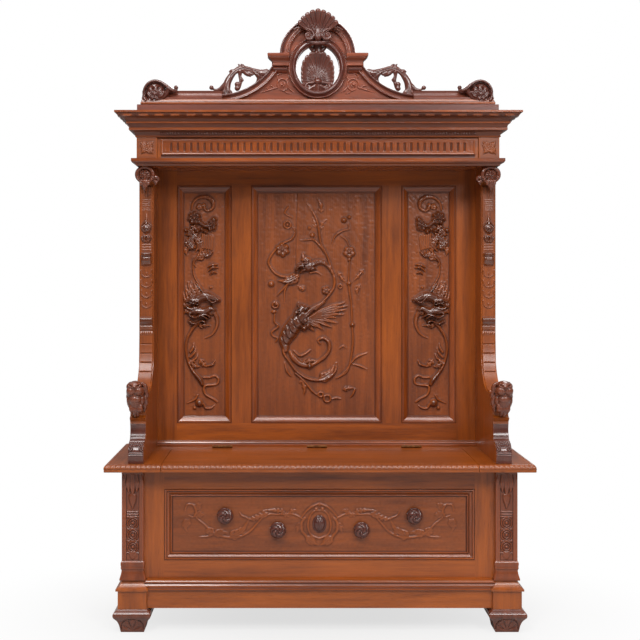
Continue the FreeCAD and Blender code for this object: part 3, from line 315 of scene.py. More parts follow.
# %% Relief carving
class Relief:
    """How high the wood stands over a grid of points, all in millimetres."""

    def __init__(self, left, right, bottom, top, pitch):
        self.u = np.linspace(left, right, round((right - left) / pitch) + 1)
        self.v = np.linspace(bottom, top, round((top - bottom) / pitch) + 1)
        self.height = np.zeros((self.v.size, self.u.size))

    def tool(self, cell, depth, seed):
        """The shallow uneven marks that gouge and scraper leave all over the ground."""
        chance = np.random.default_rng(seed)
        rows, cols = (int(np.ptp(line) / cell) + 3 for line in (self.v, self.u))
        dents = chance.random((rows, cols))
        for line, axis in ((self.v, 0), (self.u, 1)):
            step = (line - line[0]) / cell
            near, part = step.astype(int), step % 1.0
            part = part * part * (3 - 2 * part)
            part = part[:, None] if axis == 0 else part
            dents = np.take(dents, near, axis) * (1 - part) + np.take(dents, near + 1, axis) * part
        self.height += depth * (dents - 0.5) * np.exp(-self.height / 4)

    def sweep(self, points, width, height):
        """For each place, its distance from the line as a share of the half width, and the line's height."""
        path = smooth_line(points)
        half = np.maximum(spread(width, len(path)) / 2, 0.1)
        rise = spread(height, len(path))
        share = np.full(self.height.shape, 9.0)
        level = np.zeros(self.height.shape)
        for a, b, wide_a, wide_b, high_a, high_b in zip(path, path[1:], half, half[1:], rise, rise[1:]):
            reach, step = max(wide_a, wide_b) * 1.3, b - a
            low, high = np.minimum(a, b) - reach, np.maximum(a, b) + reach
            rows = slice(*np.searchsorted(self.v, (low[1], high[1])))
            cols = slice(*np.searchsorted(self.u, (low[0], high[0])))
            u, v = self.u[None, cols], self.v[rows, None]
            along = np.clip(((u - a[0]) * step[0] + (v - a[1]) * step[1]) / max(step @ step, 1e-9), 0, 1)
            away = np.hypot(u - a[0] - along * step[0], v - a[1] - along * step[1])
            away = away / (wide_a + (wide_b - wide_a) * along)
            closer = away < share[rows, cols]
            share[rows, cols][closer] = away[closer]
            level[rows, cols][closer] = (high_a + (high_b - high_a) * along)[closer]
        return share, level

    def lay(self, form):
        self.height = np.maximum(self.height, form)

    def stroke(self, points, width, height, vein=0.0, edge=0.5):
        """A stem or lobe along a line; vein hollows it along the middle."""
        share, level = self.sweep(points, width, height)
        form = level * np.clip(1 - share ** 2, 0, 1) ** edge
        self.lay(form * (1 - vein * np.exp(-(share / 0.34) ** 2)))

    def score(self, points, width, depth):
        """A groove along a line."""
        share, level = self.sweep(points, width, depth)
        self.height = self.height - level * np.clip(1 - share ** 2, 0, 1)

    def ring(self, x, z, radius, width, height):
        """A round bead laid in a circle."""
        turn = np.linspace(0, 2 * math.pi, 13)
        self.stroke(np.column_stack([x + radius * np.cos(turn), z + radius * np.sin(turn)]), width, height)

    def knob(self, x, z, radius, height, stretch=1.0):
        """A berry or a button, stretched upwards if asked."""
        away = np.hypot(self.u[None] - x, (self.v[:, None] - z) / stretch) / radius
        self.lay(height * np.clip(1 - away ** 2, 0, 1) ** 0.5)

    def flower(self, x, z, radius, height, petals=6, turn=0.0):
        """An open flower: cupped petals round a raised button."""
        u, v = self.u[None] - x, self.v[:, None] - z
        away = np.hypot(u, v) / radius
        petal = np.abs(np.cos((np.arctan2(v, u) + turn) * petals / 2))
        rim = np.clip(1 - (away / (0.76 + 0.24 * petal)) ** 2, 0, 1) ** 0.4
        cup = rim * (0.35 + 0.65 * np.clip(away * 1.5, 0, 1)) * (0.7 + 0.3 * petal)
        button = 0.95 * np.clip(1 - (away / 0.34) ** 2, 0, 1) ** 0.5
        self.lay(height * np.maximum(cup, button))

    def leaf(self, points, width, height, lobes=3):
        """An acanthus leaf: a hollowed rib along the line with pairs of lobes that curl forwards."""
        self.stroke(points, np.array([0.35, 0.5, 0.4, 0.08]) * width, np.array([0.8, 1, 0.9, 0.4]) * height, 0.35)
        path = smooth_line(points)
        for k in range(lobes):
            place = int((0.08 + 0.62 * k / lobes) * (len(path) - 1))
            ahead = path[min(place + 2, len(path) - 1)] - path[max(place - 1, 0)]
            ahead = ahead / max(np.hypot(*ahead), 1e-6)
            size = width * (0.85 - 0.45 * k / lobes)
            for side in (-1, 1):
                out = side * np.array([-ahead[1], ahead[0]])
                middle_place = path[place] + size * (0.22 * ahead + 0.42 * out)
                tip = path[place] + size * (0.75 * ahead + 0.55 * out)
                self.stroke([path[place], middle_place, tip], np.array([0.3, 0.36, 0.08]) * width,
                            np.array([0.7, 0.9, 0.45]) * height, 0.3)

    def feathers(self, root, tips, width, height):
        """Long feathers from one root, each hollowed along its middle."""
        for tip in tips:
            bend = (0.5 * (root[0] + tip[0]), 0.5 * (root[1] + tip[1]) + 0.06 * abs(tip[0] - root[0]))
            self.stroke([root, bend, tip], np.array([0.6, 1.0, 0.9, 0.2]) * width,
                        np.array([1.0, 0.9, 0.7, 0.4]) * height, 0.4)

    def beast(self, x, z, size, height, facing=-1, tilt=0.0):
        """The head of a beaked beast, seen from the side: skull, brow, hooked beak, eye and crest."""
        ahead = np.array([facing * math.cos(tilt), math.sin(tilt)])
        up = np.array([-facing * math.sin(tilt), math.cos(tilt)])

        def at(a, b):
            return np.array([x, z]) + size * (a * ahead + b * up)

        self.stroke([at(-0.5, 0.05), at(0.15, 0.1)], [size * 0.9, size * 0.75], [height * 0.8, height * 0.9])
        self.stroke([at(0.1, 0.28), at(0.6, 0.3), at(0.95, 0.05), at(0.98, -0.28)],
                    np.array([0.42, 0.36, 0.26, 0.05]) * size, np.array([0.95, 0.95, 0.8, 0.5]) * height)
        self.stroke([at(0.05, -0.22), at(0.45, -0.25), at(0.72, -0.42)], np.array([0.3, 0.24, 0.08]) * size,
                    np.array([0.8, 0.7, 0.4]) * height)
        self.score([at(0.15, -0.02), at(0.55, 0.0), at(0.85, -0.2)], size * 0.14, height * 0.45)
        self.stroke([at(-0.3, 0.42), at(0.1, 0.5), at(0.4, 0.42)], size * 0.2, height)
        self.ring(*at(0.05, 0.16), size * 0.14, size * 0.1, height * 1.02)
        self.score([at(0.02, 0.16), at(0.08, 0.16)], size * 0.16, height * 0.35)
        for k in range(4):
            root = at(-0.25 - 0.12 * k, 0.35 - 0.22 * k)
            tip = at(-0.75 - 0.12 * k, 0.85 - 0.42 * k)
            self.stroke([root, 0.5 * (root + tip) + 0.1 * size * up, tip], np.array([0.26, 0.22, 0.05]) * size,
                        np.array([0.85, 0.8, 0.4]) * height, 0.3)


# %% [markdown]
# Carved wood is darkened in its hollows with painted shade as well as old wax, and handling makes it
# bright on its high spots. Each point is compared with its smoothed surroundings: where it lies behind
# them it is a hollow, where it stands in front it is worn. The polish uses both.

# %% Hollows and worn spots
PROUD_FROM, PROUD_SPAN = 7.5, 8


def read(data, key, width, kind=float):
    """The numbers that a mesh keeps under a key, in rows so wide."""
    numbers = np.empty(len(data) * width, kind)
    data.foreach_get(key, numbers)
    return numbers.reshape(-1, width)


def mark(mesh, name, amount):
    """Keeps a number between 0 and 1 with each point."""
    layer = mesh.attributes.new(name, "FLOAT", "POINT")
    layer.data.foreach_set("value", np.clip(amount, 0, 1).astype(np.float32))


def mark_shade_and_wear(mesh, passes, depth):
    """Marks how hollow and how worn each point is, measured over a depth in millimetres."""
    places, outward = read(mesh.vertices, "co", 3), read(mesh.vertex_normals, "vector", 3)
    first, second = read(mesh.edges, "vertices", 2, int).T
    here, there = np.concatenate([first, second]), np.concatenate([second, first])
    neighbours = np.maximum(np.bincount(here, minlength=len(places)), 1)
    soft = places
    for _ in range(passes):
        soft = np.stack([np.bincount(here, soft[there, axis], len(places)) for axis in range(3)], 1)
        soft = soft / neighbours[:, None]
    behind = ((soft - places) * outward).sum(1) / (depth * MM)
    # how far a point lies in a hollow: the wood darkens it, painted shade as well as old polish
    mark(mesh, "hollow", behind)
    mark(mesh, "worn", -behind)


def add_piece(mesh, nodes=(), body="bench"):
    """Puts a finished mesh on the bench, in place of the joiner's blanks it was carved from."""
    made = bpy.data.objects.new(mesh.name, mesh)
    scene.collection.objects.link(made)
    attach(made, body)
    if nodes:
        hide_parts(*nodes)
    print(mesh.name, len(mesh.polygons), "faces")
    return made


def mount(mesh, wood, passes, depth, nodes=(), body="bench", painted_shade=None):
    """Shades, wears and colours a mesh and adds the piece; the last argument, if given, darkens its first points with
    painted shade.
    """
    mesh.shade_smooth()
    if passes:
        mark_shade_and_wear(mesh, passes, depth)
    if painted_shade is not None:
        layer = mesh.attributes["hollow"].data
        known = read(layer, "value", 1, np.float32).ravel()
        known[:painted_shade.size] = np.maximum(known[:painted_shade.size], painted_shade.ravel())
        layer.foreach_set("value", known)
    mesh.materials.append(wood)
    add_piece(mesh, nodes, body)


def quads(*corners):
    """Faces with four corners, from four grids of point numbers."""
    return np.stack(corners, -1).reshape(-1, 4).tolist()


def closed_mesh(name, points, faces):
    """A mesh of points in metres whose faces all look outwards, without loose points."""
    mesh = bpy.data.meshes.new(name)
    mesh.from_pydata(np.asarray(points, float).tolist(), [], [list(map(int, face)) for face in faces])
    work = bmesh.new()
    work.from_mesh(mesh)
    bmesh.ops.delete(work, geom=[point for point in work.verts if not point.link_faces], context="VERTS")
    bmesh.ops.recalc_face_normals(work, faces=work.faces)
    work.to_mesh(mesh)
    work.free()
    return mesh


def carved_board(name, relief, put, back):
    """The relief as the face of a closed board; put turns drawing places and heights into metres."""
    rows, cols = relief.height.shape
    u, v = np.meshgrid(relief.u, relief.v)
    face = put(u, v, relief.height).reshape(-1, 3)
    rear = put(u[:, [0, -1]], v[:, [0, -1]], np.full((rows, 2), -float(back))).reshape(-1, 3)
    grid = np.arange(rows * cols).reshape(rows, cols)
    edge = rows * cols + np.arange(rows * 2).reshape(rows, 2)
    faces = quads(grid[:-1, :-1], grid[:-1, 1:], grid[1:, 1:], grid[1:, :-1])
    for near, far in ((grid[:, 0], edge[:, 0]), (grid[:, -1], edge[:, 1])):
        faces += quads(near[:-1], near[1:], far[1:], far[:-1])
    faces += quads(edge[:-1, 0], edge[1:, 0], edge[1:, 1], edge[:-1, 1])
    faces += [[*grid[end], edge[end, 1], edge[end, 0]] for end in (0, -1)]
    mesh = closed_mesh(name, np.vstack([face, rear]), faces)
    proud = (relief.height.ravel() - PROUD_FROM) / PROUD_SPAN
    mark(mesh, "proud", np.concatenate([proud, np.zeros(rows * 2)]))
    return mesh


def upright(y, x=0, z=0, side=1):
    """Sets a flat drawing upright at a depth, measured from a place across and a height."""
    return lambda u, v, height: np.stack([x + side * u, y - height, z + v], -1) * MM


def each(form, *rows):
    """One form laid again and again."""
    for row in rows:
        form(*row)


# %% [markdown]
# Every board keeps the shape the joiner gave it. It gets its wood, with the grain along its length, and
# a small bevel, because a hand-planed and long-polished edge is never sharp. The bevel is a modifier, so
# the joiner's mesh stays as it is.

# %% Polish the joined boards
def ease(piece, edge):
    """Eases a piece's edges by so many millimetres."""
    easing = piece.modifiers.new("eased_edges", "BEVEL")
    easing.width, easing.segments, easing.limit_method = edge * MM, 2, "ANGLE"
    return easing


def dress(material, edge, names):
    """Gives joined pieces their wood and eases their edges."""
    for name in names.split():
        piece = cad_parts[name]
        piece.data.materials.clear()
        piece.data.materials.append(material)
        if edge:
            easing = ease(piece, edge)
            easing.angle_limit = math.radians(40)
            easing.harden_normals = False


dress(frame_wood["x"], 1.0, """chest_front_rails plinth_front_rail plinth_back_rail base_moulding
      chest_panel_moulding back_bottom_rail back_top_rail back_base_moulding frieze_boards
      architrave_moulding crown_moulding seat_lid seat_back_board frieze_fluted_band""")
dress(frame_wood["y"], 1.0, "chest_side_rails plinth_side_rails seat_end_boards")
dress(frame_wood["z"], 1.0, """chest_front_stiles front_posts rear_posts plinth_blocks front_feet back_feet
      wing_left wing_right wing_carved_strips back_stiles back_muntins chest_side_panels
      frieze_corner_blocks back_side_mouldings back_centre_moulding""")
dress(crest_wood["x"], 1.0, """crest_plinth crest_nosing crest_end_rails crest_board crest_arch_and_ears
      crest_ring crest_swan_necks""")
dress(crest_foot_wood, 1.0, "crest_plinth crest_end_rails")
dress(moulded_wood["x"], 1.0, "cornice_boards")
dress(timber, 1.0, "chest_back_board chest_bottom_board seat_bearers lid_battens crest_braces")
dress(field_wood["z"], 0, "back_side_panels back_centre_panel")
dress(field_wood["x"], 0, "chest_front_panel")
dress(carved_wood["z"], 0, """arm_lions cornice_lions chest_carved_bosses crest_top_shell crest_inner_shell
      crest_leaf_scrolls crest_end_volutes""")
dress(brass, 0, "hinge_lid_leaves hinge_seat_leaves hinge_pins")
dress(steel, 0, "hinge_lid_screws hinge_seat_screws")
print("dressed", len(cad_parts), "nodes")

# %% [markdown]
# Panel frames, the crown and the mouldings under it are planed as long lengths of one profile and mitred
# at the corners. A profile is a list of places: how far across, how far out, and how dark the wood is
# painted there, with painted shade as well as old polish. That last number is kept with the points, so
# that every quirk shows as a dark line of painted shade.

# %% Mitred lengths
def mitred(name, corners, profile, place, closed, nodes, grains="xz", painted_shadow=None):
    """Lengths of one profile along the corners given; place turns plane points and heights into a room."""
    corners = np.asarray(corners, float)
    count, size = len(corners), len(profile)
    ahead = np.roll(corners, -1, 0) - corners
    ahead /= np.maximum(np.hypot(*ahead.T), 1e-9)[:, None]
    left = np.stack([-ahead[:, 1], ahead[:, 0]], -1)
    turn = left + np.roll(left, 1, 0)
    turn = turn * 2 / np.maximum((turn ** 2).sum(1), 1e-9)[:, None]
    if not closed:
        turn[0], turn[-1] = left[0], left[-2]
    across, rise, shade_and_polish = np.array(profile, float).T
    points, faces, sides, painted_shade_rows = [], [], [], []
    for k in range(count if closed else count - 1):
        a = len(points) * size + np.arange(size)
        b = a + size
        for end in (k, (k + 1) % count):
            points.append(place(corners[end] + turn[end] * across[:, None], rise))
            # painted shade from the profile, and on chosen lengths a painted shadow
            painted_shade_rows.append(shade_and_polish + (painted_shadow[k] if painted_shadow else 0))
        faces += quads(a, np.roll(a, -1), np.roll(b, -1), b) + [a.tolist(), b.tolist()[::-1]]
        sides += [int(abs(ahead[k][0]) <= abs(ahead[k][1]))] * (size + 2)
    mesh = closed_mesh(name, np.vstack(points) * MM, faces)
    mesh.polygons.foreach_set("material_index", sides)
    mark(mesh, "hollow", np.concatenate(painted_shade_rows))
    for grain in grains:
        mesh.materials.append(moulded_wood[grain])
    add_piece(mesh, nodes)


# the third number of each place is painted shade: the quirks are darkened
stepped_frame = ((0, 0.60, 1), (0.05, 0.60, 1), (0.07, 0.86, 0.4), (0.10, 0.98, 0), (0.17, 1.02, 0), (0.26, 0.98, 0),
                 (0.30, 0.84, 0.4), (0.32, 0.68, 0.9), (0.35, 0.68, 0.9), (0.37, 0.80, 0.2), (0.44, 0.74, 0),
                 (0.54, 0.56, 0), (0.63, 0.38, 0.2), (0.68, 0.26, 0.8), (0.71, 0.24, 0.9), (0.73, 0.42, 0.2),
                 (0.79, 0.50, 0), (0.86, 0.46, 0), (0.91, 0.24, 0.4), (0.94, 0.08, 1), (1.03, 0.04, 1),
                 (1.03, -0.05, 1), (0, -0.05, 1))
sloped_frame = ((0, 0.62, 1), (0.04, 0.62, 0.9), (0.06, 0.88, 0.3), (0.10, 1.0, 0), (0.15, 1.0, 0), (0.19, 0.92, 0.2),
                (0.205, 0.80, 0.8), (0.24, 0.79, 0.4), (0.32, 0.76, 0), (0.42, 0.67, 0), (0.54, 0.52, 0),
                (0.66, 0.36, 0), (0.76, 0.25, 0.1), (0.80, 0.22, 0.5), (0.82, 0.12, 1), (0.845, 0.22, 0.3),
                (0.88, 0.26, 0), (0.92, 0.22, 0.1), (0.95, 0.06, 0.8), (1.03, 0.04, 1), (1.03, -0.05, 1), (0, -0.05, 1))
FRAME_DEPTH = 13


# by default the top length is painted darker: a painted shadow of the cornice over it
def panel_frame(name, left, right, node, low, high, width=26, shape=sloped_frame, painted_shadow=(0, 0, 0.3, 0)):
    """Four lengths mitred round an opening, with a profile in shares of width and depth."""
    profile = [(a * width, h * FRAME_DEPTH, d) for a, h, d in shape]
    mitred(name, [(left, low[2]), (right, low[2]), (right, high[2]), (left, high[2])], profile,
           lambda p, h: np.column_stack([p[:, 0], high[1] - h, p[:, 1]]), True, [node], painted_shadow=painted_shadow)


low, high = box("chest_panel_moulding")
panel_frame("chest_frame", low[0], high[0], "chest_panel_moulding", low, high, 27, stepped_frame, None)
low, high = box("back_centre_moulding")
panel_frame("back_frame_middle", low[0], high[0], "back_centre_moulding", low, high)
side_high, muntin_high = box("back_side_mouldings")[1][0], box("back_muntins")[1][0]
for side, word in SIDES:
    panel_frame("back_frame_" + word, *sorted([side * muntin_high, side * side_high]), "back_side_mouldings",
                low, high)

# %% [markdown]
# The crown steps out from the frieze in a hollow, a flat band, two more hollows with a bead between them,
# and a round under the top edge. The smaller moulding under the frieze has a flat band over a hollow.

# %% Crown and architrave
def lengths(name, corners, profile, z, nodes, grains="xy"):
    """Lengths of a profile that run round the outside of the bench at a height."""
    mitred(name, corners, [(-a, h, d) for a, h, d in profile],
           lambda p, h: np.column_stack([p[:, 0], p[:, 1], z + h]), False, nodes, grains)


low, high = box("crown_moulding")
crown_z, crown_back = low[2], high[1]
BOARD_HALF, BOARD_FRONT = 612, 2
crown_corners = [(-BOARD_HALF, crown_back), (-BOARD_HALF, BOARD_FRONT), (BOARD_HALF, BOARD_FRONT),
                 (BOARD_HALF, crown_back)]
# the third numbers here and in the architrave's profile are painted shade, darkest in the coves that face down
crown_profile = [(-8, 0, 1), (2, 0, 1), (4, 1, 0.2), (4.4, 3, 0), (3, 5, 1), (3.4, 8, 0.9), (5, 12, 0.7), (9, 17, 0.6),
                 (12.5, 19.5, 1), (20, 20, 1), (22.6, 21, 0.4), (23.4, 23, 0), (23.4, 29, 0), (22.6, 30.4, 0.8),
                 (22.8, 32, 1), (23.4, 35, 0.9), (25.2, 39, 0.75), (28.6, 42, 0.8), (31, 42.8, 0.4), (32, 44.4, 0),
                 (32.2, 47, 0), (31.2, 48.6, 0.9), (32, 51, 1), (34, 55, 0.8), (38, 59, 0.7), (44, 62.4, 0.8),
                 (49, 63.6, 1), (51, 64.2, 0.7), (55, 66, 0.6), (59, 69.6, 0.8), (60.6, 73, 1), (60, 74, 1),
                 (64.6, 74.4, 0.4), (66, 75.6, 0), (66, 82, 0), (-8, 82, 0)]
lengths("crown", crown_corners, crown_profile, crown_z, ["crown_moulding"])
architrave_profile = [(-6, 0, 1), (1, 0, 1), (2, 1.5, 0.4), (3.6, 5, 0.3), (7, 8.4, 0.3), (10.6, 9.6, 1),
                      (13.6, 10, 0.8), (14.6, 12, 0.1), (16.4, 14, 0), (17, 15.4, 0), (17, 24, 0), (16.2, 25, 0.2),
                      (-6, 25, 1)]
lengths("architrave", crown_corners, architrave_profile, box("architrave_moulding")[0][2], ["architrave_moulding"])

# %% [markdown]
# The same way of working gives the moulding round the plinth, the small one where the back meets the
# seat, and the nosing that the crest stands on.

# %% Plinth moulding, back foot moulding and crest nosing
PLINTH_LAP, PLINTH_HALF = 9, 567
# in these three profiles, as in the others, the third number is painted shade in the quirks
plinth_profile = [(-18, 0, 1), (6, 0, 0.9), (8.4, 1, 0.2), (9.6, 3.4, 0), (9.2, 6, 0.1), (7.4, 7.2, 0.9), (6, 8.2, 1),
                  (6.2, 10.6, 0.2), (5.2, 15, 0.1), (2.6, 19, 0.3), (1.2, 20, 1), (1.4, 22, 0.8), (2.4, 24, 0),
                  (2.2, 27, 0), (0.4, 29.6, 0.1), (-4, 31.4, 0.3), (-20, 32, 1)]
low, high = box("base_moulding")
front = low[1] + PLINTH_LAP
lengths("plinth_moulding_front", [(-PLINTH_HALF, front), (PLINTH_HALF, front)], plinth_profile, low[2],
        ["base_moulding"])
for side, word in SIDES:
    x = side * (high[0] - PLINTH_LAP)
    lengths("plinth_moulding_" + word, [(x, -91.0), (x, high[1])][::side], plinth_profile, low[2],
            ["base_moulding"])
seam_profile = [(-2, 0, 1), (12.6, 0, 1), (13.6, 1, 0.3), (14, 4, 0), (13.2, 7, 0.2), (11.5, 7.6, 1), (10.5, 8.4, 0.9),
                (10.4, 11, 0.1), (8.4, 15, 0), (4.6, 17.4, 0.3), (2.4, 18, 1), (2, 19, 0.3), (-2, 19, 1)]
low, high = box("back_base_moulding")
lengths("back_foot_moulding", [(low[0], high[1]), (high[0], high[1])], seam_profile, low[2],
        ["back_base_moulding"], "x")
nosing_profile = [(-24, 0, 1), (0, 0, 1), (1.6, 0.8, 0.3), (2.8, 3, 0), (2.8, 6, 0), (1.8, 8, 0.5), (0.6, 8.6, 1),
                  (-0.6, 9.4, 0.8), (-1, 12, 0.1), (-3, 16.6, 0), (-7, 19.4, 0.2), (-12, 20, 0.5), (-24, 20, 1)]
low, high = box("crest_nosing")
lengths("crest_foot_nosing", [(low[0], high[1]), (low[0], low[1]), (high[0], low[1]), (high[0], high[1])],
        nosing_profile, low[2], ["crest_nosing"])

# %% [markdown]
# Between the fluted band and the moulding below it runs a small hollow, painted dark all over with painted
# shade, since light does not come into it.

# %% Hollow under the fluted band
low, high = box("frieze_fluted_band")
seat_z = box("architrave_moulding")[1][2]
rise = low[2] - seat_z
# every place painted dark: painted shade
hollow_profile = [(-3, -0.5, 1), (2.4, -0.5, 0.9), (1.4, 1.5, 1), (0.9, rise * 0.5, 1), (1.8, rise - 2.5, 1),
                  (4.2, rise + 0.5, 1), (-3, rise + 0.5, 1)]
lengths("frieze_hollow", [(low[0], high[1]), (high[0], high[1])], hollow_profile, seat_z, (), "x")

# %% [markdown]
# The middle panel of the back is a tall grotesque: thin tendrils climb from the foot, bear flowers and
# berries, and end in beaked heads; a winged beast sits over a great spiral. The carver drew it freely
# and not in mirror image. Long ago the board split at the top, which left a fine vertical groove. The
# lines are given from the middle of the panel's foot.

# %% Middle panel
REBATE = 8
low, high = box("back_centre_panel")
middle_x, foot = (low[0] + high[0]) / 2, low[2] + REBATE
c = Relief(low[0] - middle_x, high[0] - middle_x, -REBATE, high[2] - foot, 2.1)
each(c.stroke, ([(-100, 766), (-112, 744), (-88, 728)], 6, [5, 4]),
     ([(-87, 698), (-76, 676), (-88, 651), (-120, 635), (-152, 605), (-170, 572), (-159, 546), (-139, 525),
      (-106, 517), (-66, 524)], [4, 6, 8, 8, 7], [4, 6, 7, 7, 9]),
     ([(-33, 777), (-12, 745), (4, 708), (11, 662), (16, 634), (37, 593), (58, 528)], [4, 7, 8, 7, 6],
      [3, 6, 8, 8, 6]),
     ([(-55, 646), (-33, 648), (-11, 649), (10, 630), (24, 613), (37, 593)], [3, 6, 8, 6], [4, 7, 7, 6]))
c.ring(-103, 702, 12, 6, 6)
each(c.knob, (-103, 702, 5, 6), (-25, 690, 6.5, 7), (-15, 666, 8.5, 8))
c.flower(-121, 613, 26, 14, 6, 0.4)
each(c.leaf, ([(-3, 694), (-8, 712), (-14, 729)], 16, 4, 2), ([(12, 687), (22, 708), (37, 721)], 16, 4, 2),
     ([(17, 747), (15, 776), (1, 795)], 18, 6, 2))
c.beast(-40, 549, 34, 21, -1, -0.25)
c.leaf([(-19, 568), (-44, 580), (-48, 604)], 26, 12, 3)
c.stroke([(-30, 549), (-4, 568), (22, 568), (43, 552), (61, 522), (63, 487), (50, 461), (22, 428), (-4, 403)],
         [24, 20, 14, 11, 9, 9, 8, 8, 12], [17, 15, 13, 10, 8, 8, 9, 10, 13], 0.2)
for x, z in [(-12, 568), (6, 572), (24, 568), (39, 556), (51, 540), (58, 520)]:
    c.score([(x - 6, z - 9), (x + 5, z + 8)], 3.4, 2.5)
each(c.stroke, ([(-22, 531), (-1, 534), (19, 522)], [7, 6, 2], [7, 6, 3]),
     ([(112, 708), (115, 687), (94, 681), (67, 663), (54, 633)], [4, 5, 7, 3], [4, 5, 7, 3]),
     ([(86, 662), (106, 648), (116, 623)], [4, 6, 4], [4, 6, 5]),
     ([(117, 570), (114, 495), (123, 424), (126, 350), (129, 290), (122, 229), (107, 180), (73, 158)],
      [4, 7, 5, 7, 6, 4], [4, 6, 5, 7, 6, 4]),
     ([(-69, 515), (-105, 488), (-141, 449)], [4, 8, 3], [5, 8, 4]),
     ([(-87, 506), (-111, 471), (-114, 424)], [4, 7, 3], [4, 6, 3]),
     ([(-148, 385), (-149, 358), (-136, 341), (-157, 323), (-154, 308), (-139, 300), (-145, 286)], [5, 7, 7, 5],
      [5, 7, 7, 5]))
each(c.knob, (97, 718, 9.36, 11), (116, 729, 6.48, 8), (116, 578, 6, 7), (127, 348, 8, 11), (115, 494, 8, 9),
     (-160, 492, 11, 10), (-143, 421, 7, 9), (-151, 394, 10, 8, 0.7))
each(c.flower, (116, 604, 22, 11, 5, 0.3), (34, 469, 16, 12, 5))
for line in ([(78, 531), (93, 508), (107, 494)], [(166, 541), (143, 515), (129, 499)],
             [(152, 486), (143, 467), (148, 449)]):
    c.leaf(line, 15, 6, 2)
each(c.ring, (84, 483, 6, 5, 6), (-146, 417, 10, 7, 8))
each(c.leaf, ([(-66, 518), (-102, 502), (-138, 504)], 34, 14, 3), ([(-42, 474), (-57, 478), (-66, 485)], 18, 8, 2))
c.beast(-57, 393, 31, 23, -1, -0.9)
c.stroke([(-48, 382), (-73, 355), (-94, 325), (-111, 293), (-109, 258)], [32, 54, 58, 44, 18], [19, 22, 21, 17, 10],
         0.1)
for (x, z), (x_end, z_end) in zip([(-69, 385), (-87, 368), (-102, 346), (-112, 325), (-122, 304)],
                                  [(-33, 346), (-48, 329), (-62, 311), (-80, 293), (-93, 275)]):
    c.score([(x, z), ((x + x_end) / 2 - 6, (z + z_end) / 2 - 8), (x_end, z_end)], 6, 5)
each(c.feathers,
     ((-33, 368), [(100, 426), (109, 414), (104, 400), (98, 384), (71, 373), (73, 353), (53, 338), (24, 329)],
      15, 14), ((-48, 357), [(14, 361), (6, 339), (-8, 325)], 14, 18))
each(c.stroke, ([(-40, 378), (-15, 403), (28, 428)], [22, 15, 9], [19, 15, 9], 0.2),
     ([(-116, 275), (-116, 247), (-98, 219), (-69, 181), (-33, 158), (7, 151), (43, 160), (66, 183), (71, 212)],
      [10, 9, 8, 9, 10, 9, 10, 8, 3], [8, 8, 9, 10, 10, 10, 12, 9, 4]),
     ([(-94, 251), (-80, 228), (-55, 208), (-30, 203), (-3, 212), (25, 231), (44, 256), (44, 283), (26, 300),
      (6, 293), (12, 279)], [10, 20, 18, 14, 12, 11, 11, 12, 11, 7, 5], [7, 11, 12, 10, 9, 10, 10, 11, 10, 8, 6],
      0.15),
     ([(-80, 254), (-60, 238), (-39, 245), (-22, 258)], [4, 9, 5], [5, 8, 5]),
     ([(48, 254), (30, 231), (4, 210)], [3, 5, 3], [6, 9, 5]),
     ([(-114, 215), (-104, 183), (-91, 165)], [3, 8, 5], [3, 8, 5]),
     ([(-75, 176), (-44, 148), (-15, 112), (6, 96)], [7, 7, 6, 4], [7, 7, 6, 5]),
     ([(53, 85), (71, 88), (87, 85)], [5, 7, 4], [5, 6, 4]),
     ([(136, 118), (129, 102), (120, 89)], [6, 8, 3], [6, 7, 3]),
     ([(71, 158), (96, 176), (123, 212), (143, 233), (179, 247)], [5, 6, 5, 9, 3], [5, 6, 5, 7, 3]),
     ([(127, 208), (158, 199), (179, 189)], [4, 7, 3], [4, 6, 3]),
     ([(82, 263), (94, 272), (105, 263)], [3, 6, 3], [3, 5, 3]))
each(c.leaf, ([(14, 155), (46, 173), (62, 201)], 34, 13, 3), ([(-48, 210), (-22, 220), (6, 219)], 20, 13, 2),
     ([(-55, 155), (-42, 123), (-46, 95)], 20, 7, 2), ([(96, 118), (118, 123), (136, 121)], 16, 7, 2))
each(c.knob, (-39, 361, 11, 20), (-30, 345, 11, 20), (-44, 336, 11, 20), (-25, 202, 11, 15))
each(c.ring, (15, 100, 8, 6, 7), (38, 86, 12, 6, 8))
c.height = c.height * 1.2 + 0.12 * np.sin(c.u[None] * 0.9 + 2 * np.sin(c.v[:, None] * 0.03))
c.score([(-73, 560), (-73, 848)], 4.4, 0.8)
c.score([(-69, 813), (-70, 747), (-72, 655), (-74, 556)], 5.0, 2.2)
c.tool(8.0, 0.9, 11)
mount(carved_board("centre_panel", c, upright(low[1], middle_x, foot), high[1] - low[1]), field_wood["z"],
      7, 1.6, ["back_centre_panel"])

# %% [markdown]
# The narrow panels match each other in mirror image. From the top: a curled leaf, a bunch of flowers and
# fruit with hanging drapery, the gaping head of a beast with a ridged snout, and a tail that ends in a
# tied ribbon. The head is a plain grotesque of the kind every carver knew.

